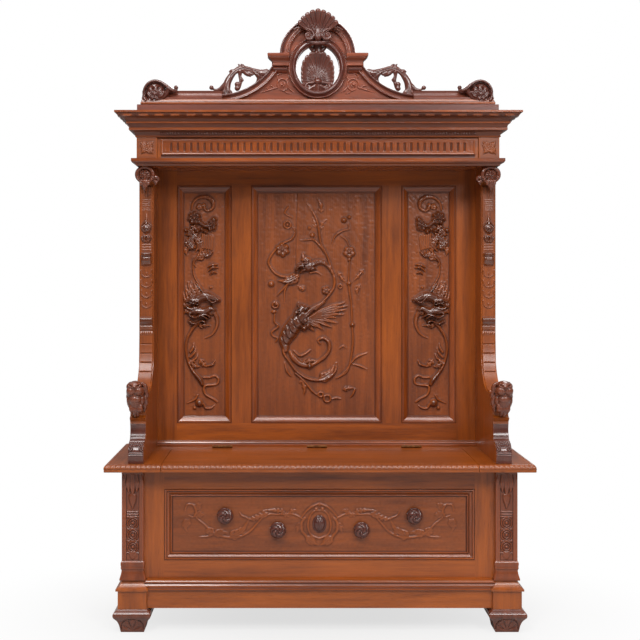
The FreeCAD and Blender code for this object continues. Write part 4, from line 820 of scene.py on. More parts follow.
# %% Side panels
low, high = box("back_side_panels")
half_opening = -low[0] - REBATE
side_width = half_opening - muntin_high
side_middle, foot = half_opening - side_width / 2, low[2] + REBATE
s = Relief(-side_width / 2 - REBATE, side_width / 2 + REBATE, -REBATE, high[2] - foot, 1.7)
each(s.stroke,
     ([(-46, 755), (-40, 779), (-19, 798), (10, 799), (30, 783), (29, 761), (11, 751), (-2, 761), (-1, 776)],
      [6, 8, 9, 14, 15, 10, 8, 7, 6], [4, 6, 8, 11, 11, 8, 8, 9, 9], 0.15),
     ([(-18, 712), (3, 698), (21, 698)], [14, 16, 12], [13, 14, 14]),
     ([(-22, 588), (-34, 577), (-38, 566), (-30, 551)], [12, 12, 7, 3], [11, 10, 7, 4]),
     ([(-41, 570), (-38, 527), (-20, 490), (3, 456), (21, 433), (38, 428)], [4, 5, 6, 6, 4], [4, 6, 9, 13, 14]),
     ([(-65, 430), (-43, 435), (-22, 433)], [16, 26, 24], [13, 19, 19]),
     ([(-22, 442), (6, 449), (49, 435)], [34, 38, 16], [17, 20, 17]),
     ([(-31, 495), (-8, 467), (10, 444), (28, 426), (40, 430)], [4, 5, 7, 9, 7], [8, 15, 22, 24, 22]),
     ([(-1, 463), (24, 451), (49, 437)], [6, 8, 6], [14, 19, 19]))
each(s.leaf, ([(-11, 761), (-22, 768), (-29, 767)], 20, 9, 2), ([(-4, 776), (1, 761), (6, 754)], 14, 11, 2),
     ([(-22, 580), (-1, 598), (21, 595)], 24, 11, 3))
each(s.flower, (-35, 725, 26, 20, 7, 0.3), (25, 699, 21, 20, 5, 0.8))
each(s.knob, (34, 720, 11, 15), (23, 479, 5, 6), (-24, 681, 9, 15), (-9, 685, 8, 15), (-65, 683, 8, 12),
     (5, 678, 8, 14), (-21, 646, 8, 10))
for line, wide, rise in (([(-33, 698), (-52, 669), (-68, 667)], 15, 15), ([(-26, 669), (-50, 651), (-63, 653)], 14, 15),
                         ([(-33, 662), (-50, 627), (-61, 609)], 14, 14), ([(-61, 648), (-43, 623), (-31, 620)], 16, 15),
                         ([(-22, 655), (-17, 627), (-34, 605)], 14, 13), ([(-18, 634), (-11, 612), (-26, 591)], 12, 10),
                         ([(-65, 623), (-66, 605), (-61, 591)], 9, 8)):
    s.leaf(line, wide * 1.7, rise, 3)
folds = zip([(-7, 669), (0, 666), (7, 664), (15, 664), (23, 662), (30, 660)],
            [(-6, 623), (1, 620), (8, 618), (15, 618), (21, 616), (26, 614)])
for k, fold in enumerate(folds):
    s.stroke(fold, 7, [8 - k, 6 - 0.6 * k], 0.3)
for line in ([(-8, 605), (-1, 595), (5, 589)], [(3, 611), (6, 598), (8, 591)],
             [(13, 611), (13, 598), (10, 591)], [(29, 607), (21, 596), (8, 588)]):
    s.stroke(line, [3, 6, 5], [6, 11, 12])
for line in ([(10, 549), (24, 558), (47, 561)], [(11, 535), (28, 550), (49, 549)],
             [(19, 524), (29, 534), (44, 531)]):
    s.stroke(line, [3, 8, 9, 3], [3, 9, 10, 5])
for line in ([(-33, 435), (-54, 460), (-66, 478)], [(-26, 442), (-43, 471), (-54, 499)],
             [(-18, 446), (-27, 474), (-36, 495)], [(-40, 424), (-61, 435), (-75, 442)]):
    s.leaf(line, 22, 12, 3)
for line in ([(-54, 428), (-63, 456), (-66, 485)], [(-47, 435), (-52, 471), (-59, 499)],
             [(-36, 439), (-41, 471), (-47, 502)], [(-61, 421), (-70, 442), (-75, 467)]):
    s.stroke(line, [9, 7, 2], [13, 9, 4], 0.3)
each(s.ring, (-34, 428, 6, 4, 21), (-24, 425, 6, 4, 21), (-45, 430, 6, 4, 21))
s.score([(-8, 416), (13, 414), (38, 417)], [7, 15, 12], [12, 21, 16])
each(s.stroke, ([(-65, 410), (-47, 403), (-26, 407), (-8, 401)], [9, 14, 14, 10], [13, 15, 15, 13]),
     ([(-57, 391), (-29, 396), (-1, 394), (21, 405), (35, 400)], [12, 26, 30, 24, 12], [11, 15, 16, 17, 15]),
     ([(-54, 382), (-33, 373), (-11, 381), (10, 369)], [6, 8, 9, 7], [15, 20, 21, 18]),
     ([(-8, 384), (8, 382), (21, 373)], [6, 7, 5], [18, 19, 16]),
     ([(-53, 359), (-33, 351), (-10, 361), (2, 358)], [11, 7, 8, 10], [18, 15, 17, 19]))
each(s.knob, (-61, 414, 6, 16), (-52, 387, 6, 16), (-36, 412, 6, 16), (-20, 410, 6, 16))
s.score([(-45, 365), (-26, 364), (-8, 368)], 9, 15)
for line in ([(-54, 410), (-68, 417), (-75, 428)], [(-54, 396), (-66, 396), (-73, 385)],
             [(17, 392), (29, 392), (42, 400)], [(-18, 343), (3, 346), (21, 343)]):
    s.leaf(line, 18, 12, 2)
each(s.stroke, ([(28, 403), (44, 373), (44, 343), (28, 314), (3, 300)], [16, 14, 10, 8, 4], [12, 10, 7, 5, 3], 0.2),
     ([(-22, 353), (-40, 336), (-61, 297), (-65, 254), (-54, 208), (-36, 178), (-15, 153), (-8, 137)],
      [14, 10, 9, 9, 9, 12, 17, 12], [11, 8, 8, 8, 8, 10, 14, 10]),
     ([(10, 201), (28, 206), (37, 220)], [6, 9, 3], [6, 9, 4]),
     ([(-2, 161), (19, 161), (35, 167), (49, 156), (46, 139), (28, 134), (3, 131), (-2, 118), (6, 99), (30, 85),
      (44, 74)], 8, [6, 6, 6, 6, 5, 6, 7, 7, 7, 6, 3], 0.2),
     ([(-62, 69), (-35, 82), (-24, 98)], [3, 7, 5], [3, 5, 4]),
     ([(-15, 71), (-4, 66), (6, 52), (24, 53), (35, 61)], [9, 8, 8, 3], [9, 7, 6, 3]))
for line in ([(-50, 251), (-40, 265), (-38, 281)], [(-50, 233), (-36, 247), (-31, 263)],
             [(-49, 217), (-31, 228), (-24, 244)]):
    s.stroke(line, [9, 7, 2], [6, 6, 3])
each(s.leaf, ([(-50, 219), (-34, 201), (-15, 199)], 22, 11, 2), ([(-15, 222), (-1, 205), (13, 196)], 20, 8, 2))
each(s.knob, (-18, 71, 14, 12), (-35, 53, 6, 6))
s.height = s.height * 1.3
s.tool(7.0, 0.9, 12)
for side, word in SIDES:
    panel = carved_board("side_panel_" + word, s, upright(low[1], side * side_middle, foot, -side),
                         high[1] - low[1])
    mount(panel, field_wood["z"], 7, 1.4, ["back_side_panels"])

# %% [markdown]
# The chest's front carries a long low scroll that runs from a curl at each end to a cartouche in the
# middle, with leaves where the scroll divides. It is flatter than the carving of the back, because
# knees and shoes brush past it.

# %% Chest front panel
def both(form, *rows):
    """Forms laid on the left half of the drawing and again in mirror image."""
    for line, *sizes in rows:
        form(line, *sizes)
        form(np.array(line) * (-1, 1), *sizes)


low, high = box("chest_front_panel")
knob_y, front_middle = low[1], (low[2] + high[2]) / 2
f = Relief(low[0], high[0], low[2] - front_middle, high[2] - front_middle, 2.0)
both(f.stroke,
     ([(-435, 41), (-429, 61), (-409, 61), (-399, 41), (-408, 22), (-424, 27)], [4, 6, 7, 6, 4], [3, 4, 5, 4, 3]),
     ([(-406, 32), (-393, 15), (-372, -2), (-350, -24), (-318, -40), (-272, -44), (-231, -29), (-200, 3), (-181, 23),
      (-159, 31), (-136, 30), (-91, 32), (-66, 23), (-50, 12)], [4, 6, 6, 7, 8, 8, 7, 7, 6, 5, 6, 5, 4],
      [2.6, 3.4, 4, 4, 4.6, 4.6, 4, 4, 3.6, 3.4, 4.4, 3.6, 3]),
     ([(-390, -43), (-361, -41), (-335, -32)], [3, 6, 4], [3, 4, 3]),
     ([(-259, 38), (-251, 27), (-234, 20)], [3, 6, 5], [3, 5, 5]),
     ([(-60, 19), (-43, 40), (-24, 56), (0, 66)], [4, 7, 8, 8], [3, 5, 6, 6]),
     ([(-47, 19), (-58, 2), (-56, -23), (-43, -40), (-39, -59)], [7, 8, 9, 8, 4], [5, 6, 6, 6, 4], 0.2),
     ([(-30, 28), (-37, -2), (-29, -33), (0, -48)], [5, 6, 6, 5], [4, 5, 5, 4]),
     ([(-30, 28), (-17, 41), (0, 44)], [5, 6, 5], [4, 5, 4]))
both(f.leaf, ([(-422, 12), (-435, -6), (-427, -27)], 24, 4, 3), ([(-403, 51), (-390, 59), (-380, 67)], 20, 4, 2),
     ([(-396, 25), (-383, 32), (-372, 28)], 20, 4, 2), ([(-289, -43), (-251, -23), (-228, 15)], 30, 5, 3),
     ([(-344, -30), (-359, -22), (-369, -20)], 24, 5, 2), ([(-338, -36), (-315, -27), (-293, -30)], 24, 5, 3),
     ([(-170, 35), (-196, 23), (-221, 15), (-247, 25)], 21, 6.5, 4), ([(-115, 38), (-147, 44), (-189, 43)], 16, 6, 3),
     ([(-111, 25), (-85, 43), (-69, 41)], 18, 4, 2), ([(-56, -1), (-69, -14), (-73, -30)], 21, 4, 2),
     ([(-37, -43), (-22, -59), (-3, -69)], 27, 6, 3))
each(f.knob, (-10, 49, 6, 7), (10, 49, 6, 7), (0, 64, 6, 7))
f.height = f.height * 0.72
f.tool(8.0, 0.8, 13)
mount(carved_board("chest_carved_panel", f, upright(low[1], z=front_middle), high[1] - low[1]),
      field_wood["x"], 6, 1.0, ["chest_front_panel"])

# %% [markdown]
# Carving in the round starts from rough forms: stems that taper and balls that are squeezed. They are
# worked into one skin with a fine even mesh, softened, and then grooved with a veining tool.

# %% Carving in the round
def turned(points, y):
    """Points of a drawing, given across and up, set in the room at a depth or at depths."""
    points = np.asarray(points, float)
    return np.column_stack([points[:, 0], np.broadcast_to(y, len(points)), points[:, 1]])


class Blank:
    """Rough stems and balls, in millimetres from an origin, that are worked into one carving."""

    def __init__(self, origin=(0, 0, 0)):
        self.origin = np.array(origin, float)
        self.points, self.faces, self.count = [], [], 0

    def skin(self, rings, first, last):
        """A closed skin over a stack of rings with a point at each end."""
        levels, sides = rings.shape[:2]
        start = self.count
        index = start + 1 + np.arange(levels * sides).reshape(levels, sides)
        end = start + 1 + levels * sides
        after = np.roll(index, -1, axis=1)
        self.faces += [[start, b, a] for a, b in zip(index[0], after[0])]
        self.faces += [[end, a, b] for a, b in zip(index[-1], after[-1])]
        self.faces += quads(index[:-1], after[:-1], after[1:], index[1:])
        self.points.append(np.vstack([first[None], rings.reshape(-1, 3), last[None]]))
        self.count = end + 1

    def stem(self, points, radius, flat=1.0, sides=12, up=(0, 1, 0)):
        """A round-ended stem along a line in the room; flat squeezes it along up."""
        path = smooth_line(np.asarray(points, float) + self.origin, 6)
        size = np.maximum(spread(radius, len(path)), 0.05)
        ahead = np.gradient(path, axis=0)
        ahead /= np.maximum(np.linalg.norm(ahead, axis=1), 1e-9)[:, None]
        turn = np.linspace(0, 2 * math.pi, sides, endpoint=False)
        path = np.vstack([path[:1] - ahead[:1] * size[0] * 0.6, path, path[-1:] + ahead[-1:] * size[-1] * 0.6])
        size = np.concatenate([[size[0] * 0.8], size, [size[-1] * 0.8]])
        ahead = np.vstack([ahead[:1], ahead, ahead[-1:]])
        lift = np.asarray(up, float) - ahead * (ahead @ np.asarray(up, float))[:, None]
        lift /= np.maximum(np.linalg.norm(lift, axis=1), 1e-9)[:, None]
        across = np.cross(ahead, lift)
        rings = (path[:, None] + size[:, None, None] * (across[:, None] * np.cos(turn)[None, :, None]
                 + flat * lift[:, None] * np.sin(turn)[None, :, None]))
        self.skin(rings, path[0] - ahead[0] * size[0] * 0.6, path[-1] + ahead[-1] * size[-1] * 0.6)

    def rod(self, line, y, radius, flat=1.0):
        """A stem drawn across and up, at a depth or at depths."""
        self.stem(turned(line, y), radius, flat)

    def ball(self, place, radius, sides=16):
        """A ball, squeezed by its three radii."""
        rise = np.linspace(-math.pi / 2, math.pi / 2, sides // 2 + 1)[1:-1]
        turn = np.linspace(0, 2 * math.pi, sides, endpoint=False)
        rings = np.stack([np.cos(rise)[:, None] * np.cos(turn), np.cos(rise)[:, None] * np.sin(turn),
                          np.repeat(np.sin(rise)[:, None], sides, 1)], -1) * np.array(radius, float)
        place, pole = np.asarray(place, float) + self.origin, np.array([0, 0, 1.0]) * radius
        self.skin(rings + place, place - pole, place + pole)

    def mirror(self):
        """Adds the same forms on the other side of the middle plane."""
        self.faces += [[self.count + k for k in reversed(face)] for face in list(self.faces)]
        self.points.append(np.vstack(self.points) * (-1, 1, 1))
        self.count *= 2

    def mesh(self, name):
        return closed_mesh(name, np.vstack(self.points) * MM, self.faces)

    def work(self, name, grain, soften=2):
        """All forms joined in one skin with a mesh as fine as the grain."""
        rough = bpy.data.objects.new(name + "_rough", self.mesh(name + "_rough"))
        scene.collection.objects.link(rough)
        join = rough.modifiers.new("join", "REMESH")
        join.mode, join.voxel_size = "VOXEL", grain * MM
        soft = rough.modifiers.new("soften", "SMOOTH")
        soft.iterations, soft.factor = soften, 0.5
        mesh = bpy.data.meshes.new_from_object(rough.evaluated_get(bpy.context.evaluated_depsgraph_get()))
        bpy.data.objects.remove(rough)
        mesh.name = name
        return mesh


def vein(mesh, lines, width, depth):
    """Grooves cut in a finished mesh along lines in the room, in millimetres."""
    places, outward = read(mesh.vertices, "co", 3) / MM, read(mesh.vertex_normals, "vector", 3)
    cut = np.zeros(len(places))
    for line in lines:
        path = smooth_line(line, 6)
        close = np.flatnonzero(((places > path.min(0) - width) & (places < path.max(0) + width)).all(1))
        for a, b in zip(path, path[1:]):
            step = b - a
            along = np.clip((places[close] - a) @ step / max(step @ step, 1e-9), 0, 1)
            away = np.linalg.norm(places[close] - a - along[:, None] * step, axis=1) / (width / 2)
            cut[close] = np.maximum(cut[close], depth * np.clip(1 - away ** 2, 0, 1))
    mesh.vertices.foreach_set("co", ((places - outward * cut[:, None]) * MM).ravel())
    mesh.update()
    return mesh


def mirrored(lines):
    """Lines and their mirror images."""
    return [np.array(line) * side for line in lines for side in ((1, 1, 1), (-1, 1, 1))]


def fan_board(name, foot, reach, half_angle, ribs, depth, rib_rise, flare, back):
    """A shell: ribs fan out from its foot; reach gives its length for an angle from upright."""
    angle = np.linspace(-half_angle, half_angle, ribs * 12 + 1)
    share = (angle + half_angle) / (2 * half_angle) * ribs
    rib = np.sqrt(np.clip(1 - (2 * (share % 1.0) - 1) ** 2, 0, 1))
    rib[[0, -1]] = 0
    long = np.array([reach(a) for a in angle]) * (0.93 + 0.07 * rib)
    s, a = np.meshgrid(np.linspace(0.0, 1.0, 42), angle, indexing="ij")
    lip = np.clip((s - 0.9) / 0.1, 0, 1)
    rise = depth(s) + rib_rise * rib * s ** 0.7 * (1 - 0.5 * lip ** 2) - flare * lip ** 2
    # a fine groove along each rib, deepest near the foot
    middle_line = np.abs((share % 1.0) - 0.5) * 2
    rise = rise - 0.35 * rib_rise * np.exp(-(middle_line / 0.22) ** 2) * (1 - s) * s * 3
    radius = s * long[None]
    face = np.stack([foot[0] + radius * np.sin(a), foot[1] - np.maximum(rise, 1.0), foot[2] + radius * np.cos(a)], -1)
    rear = face.copy()
    rear[..., 1] = foot[1] + back
    front = np.arange(s.size).reshape(s.shape)
    faces, edges = [], []
    for grid in (front, front + s.size):
        faces += quads(grid[1:-1, :-1], grid[1:-1, 1:], grid[2:, 1:], grid[2:, :-1])
        faces += [[grid[0, 0], a1, b1] for a1, b1 in zip(grid[1, :-1], grid[1, 1:])]
        edges.append(np.concatenate([grid[0:, 0], grid[-1, 1:], grid[-2:0:-1, -1]]))
    faces += quads(edges[0], np.roll(edges[0], -1), np.roll(edges[1], -1), edges[1])
    return closed_mesh(name, np.vstack([face.reshape(-1, 3), rear.reshape(-1, 3)]) * MM, faces)


# %% [markdown]
# The crest is built up on a pierced board. Mouldings are laid on it first: an arch over the opening, an
# oval frame round the opening, and a swan neck down each side. Each moulding is one profile followed
# along its line; the profile is given as heights across its width, and the line may be an arch, an oval
# or a sweep.

# %% Mouldings of the crest
board_y, board_back = (corner[1] for corner in box("crest_board"))


def moulding(name, line, width, profile, nodes=()):
    """A moulding laid on the crest board: profile gives pairs of share across and height."""
    path = np.asarray(line, float)
    travelled = np.concatenate([[0], np.cumsum(np.hypot(*np.diff(path, axis=0).T))])
    work = Relief(0, width, 0, travelled[-1], 2.5)
    work.u = np.linspace(0, width, 34)
    across, rise = np.array(profile).T
    work.height = np.repeat(np.interp(work.u / width, across, rise)[None], len(work.v), 0)

    def put(u, v, height):
        x, z = (np.interp(v, travelled, path[:, k]) for k in (0, 1))
        ahead_x, ahead_z = (np.interp(v, travelled, np.gradient(path[:, k], travelled)) for k in (0, 1))
        size = np.hypot(ahead_x, ahead_z)
        return np.stack([x - u * ahead_z / size, board_y - height, z + u * ahead_x / size], -1) * MM

    mount(carved_board(name, work, put, 0), crest_wood["x"], 4, 1.0, nodes=nodes)


def oval(center_z, half_width, half_height, start, end, steps):
    """Part of an oval, from one angle to another in degrees."""
    turn = np.linspace(math.radians(start), math.radians(end), steps)
    return np.column_stack([half_width * np.sin(turn), center_z + half_height * np.cos(turn)])


def arc_line(first, middle_point, last, steps=40):
    """The round line through three points."""
    (ax, az), (bx, bz), (cx, cz) = first, middle_point, last
    d = 2 * (ax * (bz - cz) + bx * (cz - az) + cx * (az - bz))
    ox = ((ax ** 2 + az ** 2) * (bz - cz) + (bx ** 2 + bz ** 2) * (cz - az) + (cx ** 2 + cz ** 2) * (az - bz)) / d
    oz = ((ax ** 2 + az ** 2) * (cx - bx) + (bx ** 2 + bz ** 2) * (ax - cx) + (cx ** 2 + cz ** 2) * (bx - ax)) / d
    angles = np.unwrap([math.atan2(z - oz, x - ox) for x, z in (first, middle_point, last)])
    turn = np.linspace(angles[0], angles[2], steps)
    radius = math.hypot(ax - ox, az - oz)
    return np.column_stack([ox + radius * np.cos(turn), oz + radius * np.sin(turn)])


arch_profile = [(0, 5), (0.03, 12), (0.10, 13.5), (0.16, 12), (0.18, 8), (0.34, 8), (0.36, 10), (0.45, 9), (0.60, 11),
                (0.72, 16), (0.76, 17), (0.78, 20), (0.86, 22), (0.95, 21), (1, 15)]
arch_width, arch_radius = 32, 97
moulding("crest_arch", oval(1893, arch_radius, arch_radius, -88, 88, 120), arch_width, arch_profile,
         ["crest_arch_and_ears"])
ring_profile = [(0, 0), (0.02, 9), (0.10, 16), (0.20, 20), (0.32, 22), (0.48, 20), (0.62, 14), (0.72, 10), (0.76, 8),
                (0.78, 12), (0.90, 14), (0.98, 11), (1, 4)]
low, high = box("crest_ring")
ring_band, ring_z = 27, (low[2] + high[2]) / 2
moulding("crest_oval_frame", oval(ring_z, high[0] - ring_band, (high[2] - low[2]) / 2 - ring_band, 0, 360, 200),
         ring_band, ring_profile, ["crest_ring"])
neck_profile = [(0, 6), (0.03, 16), (0.12, 20), (0.24, 18), (0.28, 14), (0.42, 9), (0.60, 8), (0.74, 9), (0.78, 13),
                (0.90, 14), (0.98, 11), (1, 2)]
bar_profile = [(0, 2), (0.08, 9), (0.40, 14), (0.62, 17), (0.80, 18), (0.92, 15), (1, 10)]
neck = arc_line((156, 1856), (223.6, 1791), (325, 1759))
for side, word in SIDES:
    moulding("swan_neck_" + word, neck[::-1] if side > 0 else neck * (-1, 1), 26, neck_profile,
             ["crest_swan_necks"])
    bar = [(side * 104, 1834), (side * 124, 1834), (side * 150, 1834)][::side]
    moulding("neck_head_" + word, bar, 15, bar_profile)


def ears(name):
    """The two cornice ends the arch stands on: moulded to the front and to the outer side."""
    low_z, rise, inner = 1856, 42, 97
    profile = [(0, 4), (0.05, 8), (0.12, 9), (0.15, 5), (0.30, 5), (0.42, 8), (0.58, 16), (0.66, 20), (0.70, 19),
               (0.74, 23), (0.95, 24), (1, 22)]
    points, faces = [], []
    for side in (-1, 1):
        start = len(points)
        for share, out in profile:
            for x, y in ((inner, board_y - out - 3), (147 + out, board_y - out - 3), (147 + out, board_y + 20),
                         (inner, board_y + 20)):
                points.append((side * x, y, low_z + share * rise))
        rows = np.arange(start, len(points)).reshape(-1, 4)
        for a, b in zip(rows, rows[1:]):
            faces += quads(a, np.roll(a, -1), np.roll(b, -1), b)
        faces += [rows[0], rows[-1]]
    mesh = closed_mesh(name, np.array(points) * MM, faces)
    mesh.materials.append(crest_wood["x"])
    ease(add_piece(mesh, ["crest_arch_and_ears"]), 0.8)


ears("crest_ears")

# %% [markdown]
# The top shell leans over the arch: nine broad ribs from one foot, hollow below and thrown forward at
# the rim, with a volute on each side and a tongue between them. The small shell hangs in the opening,
# free at the sides, so that light shows round it.

# %% Shells
top_shell = fan_board("crest_top_shell_fan", (0, board_y - 24, 1946), lambda a: 98 - 13 * abs(a),
                      math.radians(57), 9, lambda s: 6 + 11 * (1.9 * s - 0.8) ** 2, 7.5, 5.0, 6)
mount(top_shell, carved_wood["z"], 6, 1.2, ["crest_top_shell"])
curls = Blank()
volute = [(82, 1975), (68, 1982), (53, 1983), (41, 1979)]
for k in range(17):
    turn, reach = math.radians(105 + 30 * k), 18.5 - 0.95 * k
    volute.append((31.5 + reach * math.cos(turn), 1955 + reach * math.sin(turn)))
curls.rod(volute, board_y - 29, [2.5, 4.2, 5.4, 5.4, 5.0, 4.6, 4.2, 3.8, 3.4, 3.0], 1.5)
curls.ball((31.5, board_y - 26, 1955), (15, 8, 15))
curls.mirror()
curls.stem(turned([(0, 1986), (0, 1966), (0, 1950)], [12, 8, 6]), [7, 11, 13], 0.8)
curls.ball((0, board_y - 27, 1945), (11, 9, 9))
curls.rod([(-34, 1937), (-17, 1932.5), (0, 1931), (17, 1932.5), (34, 1937)], board_y - 24, [4, 6, 7, 6, 4], 0.9)
grooves = [turned([(x, 1984), (x * 0.8, 1953)], (0, -3)) for x in (-6, 0, 6)]
mount(vein(curls.work("crest_volutes", 1.0), grooves, 3.0, 1.6), carved_wood["z"], 6, 1.0,
      ["crest_top_shell"])


def small_reach(angle):
    return 57 + 42 * max(math.cos(angle), 0) ** 2.2 - 10 * max(abs(angle) - math.pi / 2, 0)


inner_shell = fan_board("crest_inner_fan", (0, board_back - 4, 1813), small_reach, math.radians(128), 19,
                        lambda s: 8 + 10 * (1.9 * s - 0.9) ** 2, 4.0, 3.0, 4)
mount(inner_shell, carved_wood["z"], 5, 0.9, ["crest_inner_shell"])
foot = Blank()
each(foot.rod,
     ([(0, 1812), (16, 1803), (33, 1800), (40, 1790), (33, 1782), (26, 1788), (31, 1792)], board_y + 8,
      [7, 6, 5, 5, 4.5, 4, 3], 1.2),
     ([(2, 1796), (18, 1786), (36, 1776)], board_y + 10, [7, 7, 6], 1.2),
     ([(14, 1912), (22, 1920), (30, 1927)], board_y + 12, [8, 7, 4]))
foot.mirror()
each(foot.ball, ((0, board_y + 12, 1784), (44, 8, 14)), ((0, board_y + 4, 1806), (13, 10, 10)))
each(foot.rod, ([(0, 1800), (0, 1785), (0, 1774)], board_y + 10, [12, 11, 10], 0.9),
     ([(0, 1900), (0, 1915), (0, 1932)], board_y + 12, [13, 14, 16], 0.8))
mount(foot.work("crest_inner_foot", 1.2), carved_wood["z"], 6, 1.0, ["crest_inner_shell"])

# %% [markdown]
# Beside each swan neck an acanthus scroll is cut right through, so the sky shows between its leaves. It
# grows from a grooved leaf on the rail, arches over to the neck, and lets one leaf hang down with a
# berry beside it.

# %% Acanthus scrolls
leaf_y = board_y + 6
scroll = Blank()
each(scroll.rod,
     ([(309, 1762), (311, 1782), (308, 1801), (299, 1819), (286, 1836), (269, 1847), (247, 1849), (223, 1844),
      (199, 1838), (180, 1837)], leaf_y, [17, 14, 13, 11.5, 9.5, 9.5, 10.5, 9, 10, 9], 0.75),
     ([(311, 1774), (320, 1766), (324, 1757)], leaf_y - 3, [11, 10, 6], 0.8),
     ([(309, 1774), (299, 1766), (296, 1757)], leaf_y - 3, [11, 10, 6], 0.8),
     ([(311, 1803), (322, 1790), (335, 1779), (350, 1778), (361, 1783)], leaf_y + 1, [8, 8, 6.5, 4, 3.5], 1.0))
scroll.ball((362, leaf_y, 1785), (8, 8, 8))
each(scroll.rod, ([(262, 1848), (265, 1858), (271, 1865)], leaf_y, [8, 5, 2]),
     ([(252, 1852), (255, 1860), (261, 1865)], leaf_y, [9, 5.5, 2]),
     ([(285, 1840), (294, 1843), (302, 1839)], leaf_y, [7, 5, 2]),
     ([(268, 1848), (273, 1853), (277, 1853)], leaf_y, [6, 4.5, 2]),
     ([(265, 1842), (265, 1826), (262, 1812), (264, 1797), (267, 1785)], leaf_y, [8, 6, 6.5, 5, 4.5]),
     ([(262, 1817), (256, 1811), (258, 1805)], leaf_y, [5, 4.5, 2]))
scroll.ball((274, leaf_y, 1796), (9.5, 9, 9.5))
each(scroll.rod, ([(273, 1792), (274, 1783)], leaf_y, [7, 10]),
     ([(254, 1843), (246, 1835), (236, 1830), (230, 1825)], leaf_y, [7, 7.5, 8.5, 4]),
     ([(235, 1835), (223, 1830)], leaf_y, [8, 5]),
     ([(218, 1842), (204, 1834), (197, 1820), (202, 1805)], leaf_y, [9, 13, 12, 8], 0.8),
     ([(204, 1835), (187, 1834), (174, 1840)], leaf_y, [12, 15, 10], 0.8),
     ([(190, 1828), (197, 1811), (207, 1799)], leaf_y, [10, 10, 7], 0.8))
ribs = [turned(line, leaf_y - lift) for line, lift in (
    ([(319, 1760), (315, 1779), (311, 1798), (299, 1820)], 12),
    ([(310, 1760), (311, 1779), (308, 1798), (296, 1820)], 12),
    ([(302, 1760), (306, 1779), (304, 1798), (293, 1820)], 12),
    ([(296, 1824), (281, 1839), (262, 1849), (242, 1849), (218, 1842), (194, 1835)], 8),
    ([(264, 1837), (263, 1820), (262, 1803)], 6), ([(213, 1837), (199, 1828), (199, 1811)], 9))]
scroll.mirror()
mount(vein(scroll.work("crest_acanthus", 1.6, 1), mirrored(ribs), 5.0, 2.4), carved_wood["x"], 6, 1.2,
      ["crest_leaf_scrolls"])

# %% [markdown]
# A volute stands before each end of the rail: a thick ring round a spray of five hollow leaves, a tail
# that runs down to the rail with a small bud on it, and a leaf that drops over the corner of the plinth.

# %% End volutes
end_y = board_y - 18
ends = Blank()
ends.rod([(583, 1737), (588, 1746), (589, 1758), (587, 1777), (576, 1794), (559, 1803), (543, 1803), (528, 1797),
         (513, 1786), (501, 1775), (489, 1770)], end_y, [7, 5.5, 5, 5, 5, 5, 5, 5.5, 7, 8.5, 6], 1.8)
ends.ball((551, end_y + 12, 1765), (38, 14, 38))
ends.rod([(500, 1775), (488, 1769), (480, 1774), (481, 1778)], end_y + 4, [6, 6, 4.5, 4])
ends.ball((481, end_y + 4, 1782), (7.5, 8, 7.5))
each(ends.rod, ([(583, 1743), (589, 1735), (594, 1727)], end_y + 2, [9, 10, 8], 0.9),
     ([(507, 1773), (515, 1758), (532, 1743), (553, 1736), (571, 1739)], end_y, [9, 7, 6.5, 6.5, 7], 1.2))
for line in ([(553, 1742), (568, 1752), (574, 1762), (580, 1757)], [(553, 1743), (563, 1763), (566, 1777), (558, 1783)],
             [(552, 1745), (550, 1765), (548, 1781), (540, 1786)], [(550, 1743), (538, 1761), (532, 1774), (524, 1775)],
             [(549, 1742), (532, 1752), (522, 1763), (519, 1765)]):
    ends.rod(line, [end_y + 1, end_y - 7, end_y - 5, end_y + 2], [4.5, 8.0, 7.0, 4.0], 0.9)
each(ends.ball, ((552, end_y - 9, 1758), (8, 7, 8)), ((522, end_y - 7, 1763), (7, 7, 7)))
ends.rod([(561, 1743), (554, 1749), (546, 1743)], end_y - 8, [5, 6, 5])
ends.mirror()
end_cuts = [turned(line, end_y - 14) for line in (
    [(553, 1742), (567, 1752), (574, 1761)], [(553, 1744), (562, 1763), (565, 1777)],
    [(551, 1746), (549, 1765), (547, 1779)], [(549, 1744), (537, 1761), (531, 1772)],
    [(548, 1742), (532, 1752), (523, 1761)], [(551, 1804), (528, 1799), (502, 1777)],
    [(588, 1750), (586, 1777), (564, 1802)], [(585, 1741), (589, 1735), (593, 1727)])]
mount(vein(ends.work("crest_end_scrolls", 1.2, 1), mirrored(end_cuts), 3.4, 2.0), carved_wood["x"], 6, 1.0,
      ["crest_end_volutes"])

# %% [markdown]
# On each shoulder of the board a small flower sits in a ring of leaves with a tendril running down
# towards the foot. The relief is shallow, a few millimetres.

# %% Flowers on the shoulders
sprigs = Blank()
sprig_y = board_y - 0.5
for line, size in (
        ([(-138, 1784), (-137, 1802), (-123, 1814), (-105, 1806), (-102, 1786), (-116, 1774), (-129, 1778)],
         [2, 3, 3.4, 3.4, 3, 2]),
        ([(-126, 1786), (-127, 1798), (-117, 1802), (-112, 1794), (-118, 1786)], [2.4, 2.8, 2.8, 2.4]),
        ([(-138, 1784), (-154, 1779), (-174, 1773), (-196, 1766)], [3, 3, 2.4, 1.2]),
        ([(-148, 1782), (-156, 1790), (-165, 1789)], [2.4, 2.8, 1.4]),
        ([(-166, 1775), (-174, 1782), (-183, 1779)], [2, 2.4, 1.2]),
        ([(-134, 1810), (-138, 1823), (-130, 1831), (-120, 1831)], [2.4, 2.8, 2.8, 1.2]),
        ([(-106, 1810), (-98, 1821), (-100, 1831)], [2.4, 2.8, 1.2]),
        ([(-102, 1786), (-93, 1776), (-80, 1767)], [2.6, 2.8, 1.4]),
        ([(-114, 1774), (-106, 1766), (-92, 1763)], [2.2, 2.4, 1.2])):
    sprigs.rod(line, sprig_y, size, 1.2)
sprigs.ball((-121, sprig_y, 1794), (5, 5, 5))
sprigs.mirror()
